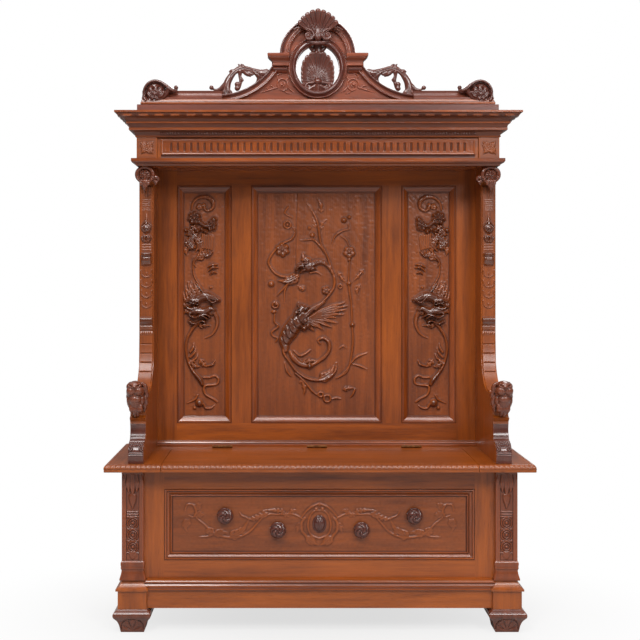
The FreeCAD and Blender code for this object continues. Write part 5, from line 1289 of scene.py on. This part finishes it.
mount(sprigs.work("crest_sprigs", 1.0, 1), crest_wood["x"], 4, 0.8)

# %% [markdown]
# A lion's head is thrust out from the top of each arm, its muzzle lifted, so that from the front the nose
# and the two round lips come first and the beard hangs under the chin. The carver roughs out skull,
# muzzle, cheeks and locks, works them into one, and then cuts the nostrils, the mouth and the strands.

# %% Arm lions
def arm_lion(blank):
    """Rough forms of the lifted head, and the lines to be cut in it with their widths and depths."""
    each(blank.ball, ((3, 12, 20), (29, 22, 28)), ((3, 16, -14), (25, 13, 42)))
    blank.stem([(4, 2, 40), (5, -14, 43), (5, -25, 42)], [22, 20, 19], 0.7, 20, (0, 0, 1))
    each(blank.ball, ((5, -29, 44), (19, 9, 9)), ((5, -20, -3), (20, 13, 15)))
    blank.stem([(5, -17, 2), (4, -15, -14), (3, -11, -32)], [20, 19, 13], 0.7)
    cuts = [([(5, -39, 38), (5, -38, 18)], 3.0, 2.8)]
    for side in (-1, 1):
        each(blank.ball, ((5 + side * 14, -28, 43), (7, 7, 8)), ((5 + side * 12, -26, 25), (15, 13, 15)),
             ((5 + side * 19, -10, 20), (10, 14, 16)), ((4 + side * 20, -4, -6), (10, 14, 20)))
        cuts += [([(5 + side * 6, -38, 42), (5 + side * 11, -37, 42), (5 + side * 16, -34, 45)], 7.0, 6.0),
                 ([(5, -38, 15), (5 + side * 8, -37, 11), (5 + side * 18, -30, 5), (5 + side * 26, -18, 6)], 6.0, 5.5)]
        cuts += [([(5 + side * (7 + 5 * k), -38 + k, 28 - 2 * k), (5 + side * (9 + 6 * k), -37 + 2 * k, 21 - k)],
                  2.0, 1.2) for k in range(3)]
    for x, foot in ((-12, -46), (-3, -56), (7, -58), (16, -50)):
        blank.stem([(x + 1, -13, -22), (x, -15, -36), (x - 2, -8, foot)], [8, 8.5, 3.5])
        cuts.append(([(x + 1, -22, -26), (x, -23, -38), (x - 1, -13, foot + 5)], 2.4, 1.8))
    for lock, size in (([(-17, -2, 48), (-25, 0, 40), (-27, 2, 28), (-20, 3, 22)], [5, 7, 7, 4]),
                       ([(-20, -2, 30), (-29, 2, 18), (-30, 4, 4), (-22, 4, -2)], [5, 7, 7, 4]),
                       ([(-18, -4, 8), (-28, 1, -6), (-28, 4, -20), (-20, 4, -26)], [5, 7, 7, 4]),
                       ([(-17, -4, -14), (-25, 2, -28), (-23, 5, -42)], [5, 7, 4]),
                       ([(22, 0, 48), (30, 4, 38), (31, 8, 26)], [5, 6, 4]),
                       ([(26, 2, 20), (31, 6, 4), (28, 8, -10)], [5, 6, 4]),
                       ([(22, 0, -4), (28, 5, -18), (24, 7, -32)], [5, 6, 4]),
                       ([(18, 6, 41), (3, 4, 48), (-14, 4, 43)], [6, 7, 6])):
        blank.stem(lock, size, 1.2)
        cuts.append((np.array(lock) + (0, -7.5, 0), 2.4, 1.6))
    return cuts


def pair_of_heads(name, node, forms, ahead, grain):
    """The two heads of a node, carved as mirror images and set where the joiner left their blanks."""
    low, high = box(node)
    inner, outer = (corner[0] for corner in box("wing_right"))
    blank = Blank(((outer + inner) / 2, low[1] + ahead, (low[2] + high[2]) / 2))
    cuts = forms(blank)
    blank.mirror()
    mesh = blank.work(name, grain, 1)
    for line, wide, deep in cuts:
        vein(mesh, mirrored([line + blank.origin]), wide, deep)
    mount(mesh, lion_wood, 8, 1.3, [node])


lion_wood = walnut("lion_walnut", "z", (0.075, 0.017, 0.008), (0.190, 0.050, 0.022), (0.2, 0.2, 0.6), 0.22, 0.85, 0.32)
pair_of_heads("arm_lion_heads", "arm_lions", arm_lion, 38, 1.3)

# %% [markdown]
# The head under each end of the cornice looks down: its brow is a broad dome with a rolled rim, two dark
# eyes sit under it, and the short nose and a drooping leaf come below. A small leaf curls out at the side.

# %% Cornice lions
def cornice_lion(blank):
    """Rough forms of the head that looks down, and the lines to be cut in it."""
    def round_brow(radius, y, squeeze, degrees, middle=6):
        turn = math.radians(degrees)
        return radius * math.cos(turn), y, middle + squeeze * radius * math.sin(turn)

    around = np.linspace(0, 2 * math.pi, 21)
    each(blank.ball, ((0, 12, 6), (33, 20, 27)), ((0, 3, 6), (23, 15, 20)))
    blank.stem([(28 * math.cos(t), -8, 6 + 25 * math.sin(t)) for t in around], [6, 6])
    cuts = [([(20 * math.cos(t), -9, 6 + 17 * math.sin(t)) for t in around], 6.0, 5.0)]
    cuts += [([round_brow(r, y, 0.86, 45 * k + 22.5) for r, y in ((4, -13), (16, -9))], 5, 4) for k in range(8)]
    cuts += [([round_brow(r, -12, 0.88, 195 + 19 * k) for r in (24, 32)], 4, 3.4) for k in range(9)]
    for k in range(7):
        blank.ball(round_brow(24, -5, 1.25, 200 + 23.3 * k, 5), (4.5, 6, 5))
    blank.ball((0, -9, -19), (12, 10, 10))
    blank.stem([(0, -8, -22), (0, -6, -34), (0, -1, -46)], [10, 9, 3], 0.8)
    for side in (-1, 1):
        blank.ball((side * 11, -7, -24), (7, 7, 8))
        cuts += [([(side * 8, -16, -13), (side * 16, -13, -11)], 8.0, 6.0),
                 ([(side * 4, -18, -26), (side * 9, -15, -36)], 3.0, 2.2)]
    each(blank.stem, ([(-28, 2, -6), (-38, -1, -2), (-45, 1, -8), (-41, 3, -16)], [7, 6.5, 5, 3]),
         ([(-30, 4, -14), (-37, 3, -20), (-34, 5, -27)], [6, 5, 2.5]))
    return cuts + [([(-32, -5, -5), (-39, -7, -4), (-44, -4, -9)], 2.8, 2.0),
                   ([(0, -19, -18), (0, -16, -30), (0, -8, -42)], 2.6, 1.8)]


pair_of_heads("cornice_lion_heads", "cornice_lions", cornice_lion, 28, 1.0)

# %% [markdown]
# Four knobs carved as flowers stand well out of the chest's panel, and an oval stone with a cross-cut
# face sits in the cartouche between them. The petals turn round the knob like those of a rosebud.

# %% Flower knobs and oval boss
FIELD_X, FIELD_Z = 474.0, 88
knobs = Blank()
knob_cuts = []
for across, up in ((0.645, 0.29), (0.285, -0.23)):
    for side in (-1, 1):
        x, z = side * across * FIELD_X, front_middle + up * FIELD_Z
        knobs.stem([(x, knob_y + 6, z), (x, knob_y - 8, z)], [15, 15], up=(0, 0, 1))
        knobs.ball((x, knob_y - 12, z), (25, 15, 25), 24)
        knobs.stem([(x + 25 * math.cos(t), knob_y - 9, z + 25 * math.sin(t)) for t in np.linspace(-0.6, 2.9, 12)],
                   [1.5, 3.4, 4.0, 3.4, 1.5])
        for turn in (2 * math.pi * k / 4 + 0.3 for k in range(4)):
            knob_cuts.append([(x + r * math.cos(turn + bend), knob_y - y, z + r * math.sin(turn + bend)) for r, bend, y
                              in ((2, 0.0, 27), (9, 0.5, 26), (16, 1.2, 23), (22, 1.9, 18), (25, 2.4, 12))])
mount(vein(knobs.work("chest_flower_knobs", 1.1, 1), knob_cuts, 5.0, 3.4), carved_wood["z"], 6, 1.2,
      ["chest_carved_bosses"])
boss = Blank((0, knob_y, front_middle))
boss.ball((0, 0, 0), (19.5, 13.5, 25.5), 32)
boss.stem([(20.5 * np.cos(t), -1.5, 26.5 * np.sin(t)) for t in np.linspace(0, 2 * math.pi, 25)], [2.6, 2.6])
boss_cuts = [boss.origin + [(7 * k - 12 * lean, -8, -22), (7 * k, -14, 0), (7 * k + 12 * lean, -8, 22)]
             for k in range(-3, 4) for lean in (-1, 1)]
mount(vein(boss.work("chest_oval_boss", 1.0, 1), boss_cuts, 2.8, 1.0), carved_wood["z"], 6, 1.0,
      ["chest_carved_bosses"])

# %% [markdown]
# The front posts and feet are square and carved on their faces. A square piece is drawn as rings from its
# foot to its head: each ring has a width of its own, and the carving stands on the front, or on all four
# sides.

# %% Square carved pieces
def squared(name, centre, half, levels, grow, front, others):
    """A closed square piece: grow is added to its half size at each level, and relief to its faces."""
    rings = []
    for relief, (x, y) in ((front, (0, -1)), (others, (1, 0)), (others, (0, 1)), (others, (-1, 0))):
        share = np.linspace(-1, 1, relief.shape[1])[None, :-1]
        wide = half + grow[:, None]
        far = wide + relief[:, :-1]
        rings.append(np.stack([centre[0] + x * far - y * wide * share, centre[1] + y * far + x * wide * share,
                               np.repeat(levels[:, None], share.size, 1)], -1))
    ring = np.concatenate(rings, 1)
    grid = np.arange(ring[..., 0].size).reshape(ring.shape[:2])
    after = np.roll(grid, -1, 1)
    faces = quads(grid[:-1], after[:-1], after[1:], grid[1:]) + [grid[0].tolist(), grid[-1].tolist()]
    return closed_mesh(name, ring.reshape(-1, 3) * MM, faces)


def square_pair(name, node, half, wood, depth, *shape):
    """A square piece at each end of the front, as far out as the joiner's blanks."""
    low, high = box(node)
    for side, word in SIDES:
        centre = (side * (high[0] - half), (low[1] + high[1]) / 2)
        mount(squared(name + word, centre, *shape), wood, 5, depth, [node])


# %% [markdown]
# Each post carries a drooping acanthus leaf under the seat, and below it a sunk strip with a pendant and
# a string of overlapping coins. It stands on a small moulded base.

# %% Front posts
POST_HALF, POST_FACE = 34.5, 5.0
low, high = box("front_posts")
post = Relief(-POST_HALF, POST_HALF, low[2], high[2], 1.15)
u, v = post.u[None], post.v[:, None]
post.height = np.where((np.abs(u) < 21.5) & (v > 228) & (v < 462), 0.0, POST_FACE)
for eye in (348, 309.5, 271):
    post.ring(0, eye, 17, 3.2, 3.2)
    post.ring(0, eye, 10.5, 2.6, 3.8)
    post.knob(0, eye, 4.5, 4.5)
    post.stroke([(-19, eye - 19.5), (19, eye - 19.5)], 3, 2.6)
    both(post.stroke, ([(-19, eye + 15), (-15, eye + 19), (-19, eye + 23)], [1, 4, 1], 3))
each(post.stroke, ([(0, 247), (0, 232)], [26, 3], [3, 1.5]),
     *(([(-18, z), (18, z)], 3.4, 3.0) for z in (384, 376, 368)))
# the drooping leaf: a middle lobe and two pairs of lobes beside it, over a small bud
each(post.stroke, ([(0, 510), (0, 470), (0, 437)], [20, 22, 6], [10, 11, 5.5], 0.18),
     ([(0, 432), (0, 418), (0, 396)], [26, 20, 3], [6.5, 7, 4.5], 0.2))
both(post.stroke, ([(-11, 512), (-14, 478), (-13, 450)], [16, 19, 5], [9, 10.5, 5], 0.2),
     ([(-23, 512), (-28, 488), (-27, 464)], [13, 15, 5], [9, 10, 5], 0.2))
post.height[(v > 507)[:, 0]] = 8.0
post_grow = np.interp(post.v, [166, 169, 172, 178, 186, 194, 199, 201, 205, 209, 216, 222, 226, 227],
                      [7, 7, 6.4, 4.6, 2.4, 1.0, 0.8, 2.4, 3.2, 2.6, 3.6, 3.4, 1.5, 0])
post_wood = walnut("post_walnut", "z", (0.085, 0.018, 0.007), (0.250, 0.056, 0.014), (0.4, 0.1, 0.3), 0.26, 0.8, 0.25)
square_pair("front_post_", "front_posts", POST_HALF, post_wood, 1.1, POST_HALF, post.v, post_grow,
            post.height - POST_FACE, np.zeros((len(post.v), 3)))

# %% [markdown]
# The feet swell under the plinth and draw in to the floor. A shell of nine rays is cut on the outer faces,
# under a deep arch, with a round eye in its middle.

# %% Front feet
FOOT_HALF = 60.5
foot_z = np.linspace(0, box("front_feet")[1][2], 78)
foot_line = smooth_line([(0, 37.0), (3, 38), (10, 39.4), (18, 41), (26, 43.2), (34, 46.4), (40, 50), (46, 55),
                         (51, 59), (56, 60.5), (61, 60.4), (66, 57.8), (70, 53.6), (73, 50), (76, 47.5)])
share, rise = np.meshgrid(np.linspace(-1, 1, 61), foot_z)
away = np.hypot(share * 44, rise - 4)
rays = np.abs(np.cos(np.arctan2(share * 44, np.maximum(rise - 4, 0.1)) * 4.5))
shell = np.clip((38 - away) / 4, 0, 1) * np.clip(away / 14, 0, 1) * (rise > 4)
shell_cut = 3.0 * shell * (rays - 0.75) - 3.4 * np.exp(-((away - 40.5) / 2.4) ** 2) * (rise > 8)
shell_cut += 2.6 * np.sqrt(np.clip(1 - (np.hypot(share * 44, rise - 30) / 9) ** 2, 0, 1))
shell_cut *= np.clip((1 - np.abs(share)) * 12, 0, 1)
square_pair("front_foot_", "front_feet", FOOT_HALF, lion_wood, 1.2, 0, foot_z, np.interp(foot_z, *foot_line.T),
            shell_cut, shell_cut)

# %% [markdown]
# A carved strip climbs the front of each wing, over the sweep above the arm and on up to the lion: four
# cuts across, a scrolled console, a row of scales with a pip in each, a second console and a tassel.
# The drawing is made flat and bent along the wing's front edge.

# %% Wing strips
WING_MIDDLE, STRIP_HALF = 587.0, 21.0


def way_along(line):
    """How far along a line each of its points lies."""
    return np.concatenate([[0], np.cumsum(np.hypot(*np.diff(line, axis=0).T))])


def bent(line, middle_x):
    """Sets a flat drawing on a line in the plane of depth and height, at a place across."""
    way = way_along(line)
    ahead = np.gradient(line, way, axis=0)
    ahead /= np.hypot(*ahead.T)[:, None]

    def put(u, v, height):
        y, z, ahead_y, ahead_z = (np.interp(v, way, k) for k in (*line.T, *ahead.T))
        return np.stack([middle_x + u, y - ahead_z * height, z + ahead_y * height], -1) * MM

    return put


edge_line = smooth_line([(-66, 757), (-40, 758.5), (-8, 768), (24, 790), (48, 830), (63, 880), (69.5, 935), (70, 1000),
                         (70, 1150), (70, 1300), (70, 1450)], 10)
edge_way = way_along(edge_line)


def climb(z):
    """How far along the wing's edge a height lies."""
    return float(np.interp(z, edge_line[:, 1], edge_way))


def risen(*points):
    """Points across and up, with the heights measured along the wing's edge."""
    return [(x, climb(z)) for x, z in points]


def console(*points):
    """A scrolled bracket in section: heights of the wing and how far it stands out."""
    return np.interp(v, [climb(z) for z, _ in points], [out for _, out in points])


strip = Relief(-STRIP_HALF, STRIP_HALF, 0, edge_way[-1], 1.3)
u, v = strip.u[None], strip.v[:, None]
strip.height[:] = 6.0
each(strip.score, *((risen((-17, z), (17, z)), 4.0, 4.6) for z in (815, 846, 877, 909)))
level = strip.height.copy()
strip.height[:] = 0
strip.lay(console((938, 0), (940, 7), (946, 9), (952, 7), (956, 5), (958, 10), (970, 12), (974, 9), (976, 13),
                  (986, 17), (997, 16), (1001, 9), (1002, 0)) * (np.abs(u) < 40))
each(strip.score, *((risen((x, 941), (x, 950)), 2.6, 3.0) for x in (-14, -7, 0, 7, 14)))
for low_v in (climb(z) for z in (1036, 1071, 1106, 1141)):
    arc = [(-19, 22), (-17, 8), (-9, 0.5), (0, -2), (9, 0.5), (17, 8), (19, 22)]
    strip.stroke([(x, low_v + up) for x, up in arc], 4.2, 9.6)
    strip.stroke([(0, low_v + 12), (0, low_v + 9)], 6, 9.4)
rounding = np.clip(1 - (np.abs(u) / 20.5) ** 6, 0, 1) * (v > climb(1177) + 12 * (np.abs(u) / 21) ** 3)
strip.lay(console((1177, 0), (1178, 8), (1184, 14), (1196, 17), (1206, 16), (1210, 12), (1212, 17), (1220, 17.5),
                  (1223, 9), (1224, 0)) * rounding)
each(strip.stroke, *((risen((-15, z), (15, z)), 4.2, 8) for z in (1232, 1241, 1250)))
for z, size, bulge in ((1272, 15.5, 17), (1306, 17, 19)):
    strip.knob(0, climb(z), size, bulge, 1.05)
    both(strip.stroke, (risen((-6, z + 14), (-14, z + 2), (-7, z - 13)), [4, 8, 4], [13, 17, 12]))
each(strip.score, (risen((0, 1266), (0, 1275)), 9, 9), (risen((-6, 1300), (0, 1304), (6, 1300)), 4, 4))
each(strip.stroke, (risen((-17, 1314), (0, 1331), (17, 1314)), [3, 7, 3], 14),
     (risen((0, 1320), (0, 1338), (0, 1358)), [15, 10, 3], [16, 12, 7]),
     (risen((0, 1448), (0, 1425), (0, 1410)), [10, 12, 3], [13, 12, 7]),
     *((risen((-13, z), (13, z)), 3.4, 6.9) for z in range(1368, 1404, 7)))
both(strip.stroke, (risen((-11, 1446), (-9, 1428), (-3, 1416)), [9, 10, 2], [11, 11, 7], 0.3))
border = np.where(np.abs(u) > STRIP_HALF - 2.2, 7.6, 6.0) * np.ones_like(v)
strip.height = np.maximum(strip.height, np.minimum(level, border))
for side, word in SIDES:
    mount(carved_board("wing_strip_" + word, strip, bent(edge_line, side * WING_MIDDLE), 0), field_wood["z"], 5, 1.3,
          ["wing_carved_strips"])

# %% [markdown]
# The foot of each arm is carved as well: two reeds across, a small scroll at each side, three rows of
# beads and a smooth hollow under the lion.

# %% Arm feet
arm_line = smooth_line([(-200, 543.5), (-203, 571), (-200, 588), (-189, 601), (-172, 608), (-159, 615), (-150, 632),
                        (-148, 650), (-150, 664)], 8)
arm = Relief(-24.6, 24.6, 0, way_along(arm_line)[-1], 1.2)
arm.height[:] = np.where(arm.v[:, None] < 24, 3.0, 2.0)
each(arm.stroke, *(([(-23, z), (23, z)], 3.6, 4.6) for z in (26.5, 32.5)))
for side in (-1, 1):
    arm.ring(side * 17, 47, 5.5, 3.6, 7)
    arm.knob(side * 17, 47, 3.4, 8)
    arm.stroke([(side * 17, 40), (side * 22, 36)], [4, 2], 5)
for row in range(3):
    for k in range(-3, 4):
        arm.knob(k * 6.6 + (row % 2) * 3.3 - 1.6, 57 + row * 7.5, 3.8, 6.2)
each(arm.stroke, *(([(-24, z), (24, z)], 4, 4.5) for z in (80, 106)))
for side, word in SIDES:
    mount(carved_board("arm_foot_" + word, arm, bent(arm_line, side * WING_MIDDLE), 1.5), carved_wood["z"], 5, 1.2)

# %% [markdown]
# The frieze carries a sunk band of upright flutes between two square blocks, each with a crossed leaf
# sprig. The flutes are cut deep and painted dark inside with painted shade, so that each one shows as a
# dark line with a lit edge.

# %% Frieze
FLUTES, BLOCK_HALF = 45, 34.5
low, high = box("frieze_fluted_band")
band_half, band_middle = high[0], (low[2] + high[2]) / 2
band = Relief(-band_half, band_half, low[2], high[2], 1.3)
u, v = band.u[None], band.v[:, None]
pitch = 2 * (band_half - 23.0) / FLUTES
across = (u + pitch / 2) % pitch - pitch / 2
past_end = np.maximum(np.abs(v - band_middle) - 11.5, 0)
inside = 1 - np.hypot(across, past_end) / 4.0
flute = np.where(np.abs(u) < band_half - 15, np.clip(inside, 0, 1) ** 0.5, 0)
rim = np.where((np.abs(v - band_middle) > 22) | (np.abs(u) > band_half - 4), 1.2, 0.0)
band.height = rim - 4.6 * flute
# the inside of each flute is painted dark: painted shade
mount(carved_board("fluted_band", band, upright(low[1]), high[1] - low[1]), moulded_wood["x"], 4, 1.6,
      ["frieze_fluted_band"], painted_shade=np.clip(flute * 1.3, 0, 1))
low, high = box("frieze_corner_blocks")
for side, word in SIDES:
    x, z = side * (high[0] - BLOCK_HALF), 1576.0
    sprig = Relief(x - 31, x + 31, z - 36, z + 34, 0.9)
    for reach_x, reach_z, size in ((-22, 22, 22), (22, 22, 18), (-20, -22, 18), (22, -22, 22)):
        sprig.leaf([(x + reach_x * a, z + reach_z * b) for a, b in ((0.15, 0.15), (0.6, 0.5), (1, 1))], size, 7, 2)
    sprig.flower(x, z, 9, 8, 5, 0.5)
    sprig.height = sprig.height + 0.3
    mount(carved_board("frieze_sprig_" + word, sprig, upright(low[1]), 1.0), field_wood["x"], 5, 1.0)

# %% [markdown]
# Two running ornaments follow the crown: a row of long leaves on the upper round, on the front and both
# sides, and a row of beads under the crown between the blocks.

# %% Running ornaments of the crown
LEAF_OUT = 50


def straight(start, end, out_way):
    """The length of a line in plan, and the place so far along it and so far out from it."""
    start, end = np.asarray(start, float), np.asarray(end, float)
    length = np.hypot(*(end - start))
    along = (end - start) / length
    return length, lambda way, out: (start[k] + along[k] * way + out_way[k] * out for k in (0, 1))


def repeated(relief, length, high, each_length):
    """For each point, its share of one of many equal motifs in a row, and its share of their height."""
    count = max(1, round(length / each_length))
    return relief.u[None] / (length / count) % 1.0, relief.v[:, None] / high


def leaf_run(name, start, end, out_way, grain):
    """A row of long leaves along a straight line; out_way points away from the cornice."""
    length, at = straight(start, end, out_way)
    run = Relief(0, length, 0, 14, 1.4)
    u, v = repeated(run, length, 14, 54)
    swell = np.sin(math.pi * np.clip(v / 0.84, 0, 1)) ** 0.7
    leaf = np.clip(1 - ((u - 0.5) / 0.34) ** 4, 0, 1) * swell
    nick = np.exp(-(np.abs(u - 0.5) - 0.5) ** 2 / 0.0016) * swell
    run.height = 0.8 + 4.4 * leaf + 2.4 * nick

    def put(u, v, height):
        slope = np.clip(v / 14, 0, 1)
        x, y = at(u, LEAF_OUT + 11 * slope + height * 0.65)
        return np.stack([x, y, crown_z + 64.5 + 9.5 * slope - 0.76 * height], -1) * MM

    # the gaps between the leaves are painted dark: painted shade
    mount(carved_board(name, run, put, 2.0), moulded_wood[grain], 4, 1.0, painted_shade=np.clip(1.0 - 1.5 * leaf, 0, 1))


leaf_run("crown_leaves_front", (-BOARD_HALF - LEAF_OUT, BOARD_FRONT), (BOARD_HALF + LEAF_OUT, BOARD_FRONT), (0, -1),
         "x")
for side, word in SIDES:
    leaf_run("crown_leaves_" + word, *[(side * BOARD_HALF, BOARD_FRONT - LEAF_OUT),
                                       (side * BOARD_HALF, crown_back - 1)][::side], (side, 0), "y")
beads = Blank()
for k in range(111):
    beads.ball((-528 + 9.6 * k, -5.0, crown_z + 12.0), (4.2, 4.6, 4.2), 8)
mount(beads.mesh("crown_beads"), carved_wood["x"], 0, 0)

# %% [markdown]
# The rounded front edge of the seat is carved with a run of small tongues. The part on the lid lifts with
# it, and the parts on the two end boards stay and turn the corners.

# %% Carved edge of the seat
EDGE_RADIUS, SEAM = 14.0, 0.6
low, high = box("seat_end_boards")
lid_x = box("seat_lid")[1][0] - SEAM
inner_x = box("seat_back_board")[1][0] + SEAM


def edge_run(name, start, end, out_way, body="bench", mitres=(0, 0)):
    """Tongues carved round the edge, from one place to another; out_way points away from the seat."""
    length, at = straight(start, end, out_way)
    arc = EDGE_RADIUS * math.pi / 2
    run = Relief(0, length, 0, arc, 1.4)
    u, v = repeated(run, length, arc, 17)
    lean = (u + 0.18 * (v - 0.5)) % 1.0
    tongue = np.clip(1 - ((lean - 0.5) / 0.40) ** 2 - (np.clip(v - 0.35, 0, 1) / 0.7) ** 4, 0, 1) ** 0.5
    run.height = 0.5 + 1.4 * tongue * np.sin(math.pi * np.clip(v * 0.96 + 0.02, 0, 1)) ** 0.4

    def put(u, v, height):
        turn, reach = v / EDGE_RADIUS, EDGE_RADIUS + height
        out = -EDGE_RADIUS + reach * np.cos(turn)
        x, y = at(u + out * (mitres[1] * u / length - mitres[0] * (1 - u / length)), out)
        return np.stack([x, y, high[2] - EDGE_RADIUS + reach * np.sin(turn)], -1) * MM

    mount(carved_board(name, run, put, 1.5), field_wood["x"], 4, 0.9, body=body)


edge_run("lid_edge", (-lid_x, low[1]), (lid_x, low[1]), (0, -1), "lid")
for side, word in SIDES:
    left, right = int(side < 0), int(side > 0)
    corner = (side * high[0], low[1])
    edge_run("seat_edge_" + word, *sorted([(side * inner_x, low[1]), corner]), (0, -1), mitres=(left, right))
    edge_run("seat_side_edge_" + word, *[corner, (side * high[0], high[1])][::side], (side, 0),
             mitres=(right, left))

# %% [markdown]
# The floor is a wide pale sheet that keeps the bench's soft shadow and fades to pure white away from it,
# as the sweep of a studio does. The world is white where the camera sees it; as a light it is bright
# overhead and dim low down.

# %% Floor and background
FLOOR_REACH = 14.0


def studio_floor():
    mesh = bpy.data.meshes.new("floor")
    mesh.from_pydata([(x * FLOOR_REACH, y * FLOOR_REACH, 0) for x, y in ((-1, -1), (1, -1), (1, 1), (-1, 1))], [],
                     [(0, 1, 2, 3)])
    floor = bpy.data.objects.new("floor", mesh)
    scene.collection.objects.link(floor)
    w = new_wood("pale_floor")
    seen = w.node("ShaderNodeLightPath", {}, [], "Is Camera Ray")
    mottle = (w.noise(w.place(), 2.0, 2.0) * 0.2).clamp().tint((0.56, 0.56, 0.55), (0.50, 0.50, 0.49))
    plain = w.node("ShaderNodeBsdfPrincipled", {}, {"Base Color": mottle, "Roughness": 0.7})
    glow = w.node("ShaderNodeEmission", {}, {"Color": (1, 1, 1), "Strength": 1.0})
    away = w.node("ShaderNodeVectorMath", {"operation": "LENGTH"}, [w.place((0.62, 1.0, 1))], "Value")
    pick = w.node("ShaderNodeMixShader", {}, [(away.smooth(0.1, 0.9) * 0.3 + 0.7) * seen, plain, glow])
    w.node("ShaderNodeOutputMaterial", {}, {"Surface": pick})
    mesh.materials.append(w.owner)


def white_world():
    w = Nodes(bpy.data.worlds.new("studio"))
    seen = w.node("ShaderNodeMath", {"operation": "MAXIMUM"},
                  [w.node("ShaderNodeLightPath", {}, [], ray) for ray in ("Is Camera Ray", "Is Transmission Ray")])
    height = w.node("ShaderNodeSeparateXYZ", {}, [w.node("ShaderNodeTexCoord", {}, [], "Generated")], "Z")
    lift = w.node("ShaderNodeMapRange", {}, [height, 0.1, 0.9, 0.07, 0.75])
    light = w.node("ShaderNodeBackground", {}, {"Color": (1.0, 0.97, 0.97), "Strength": lift})
    white = w.node("ShaderNodeBackground", {}, {"Color": (1, 1, 1)})
    w.node("ShaderNodeOutputWorld", {}, {"Surface": w.node("ShaderNodeMixShader", {}, [seen, light, white])})
    scene.world = w.owner


studio_floor()
white_world()
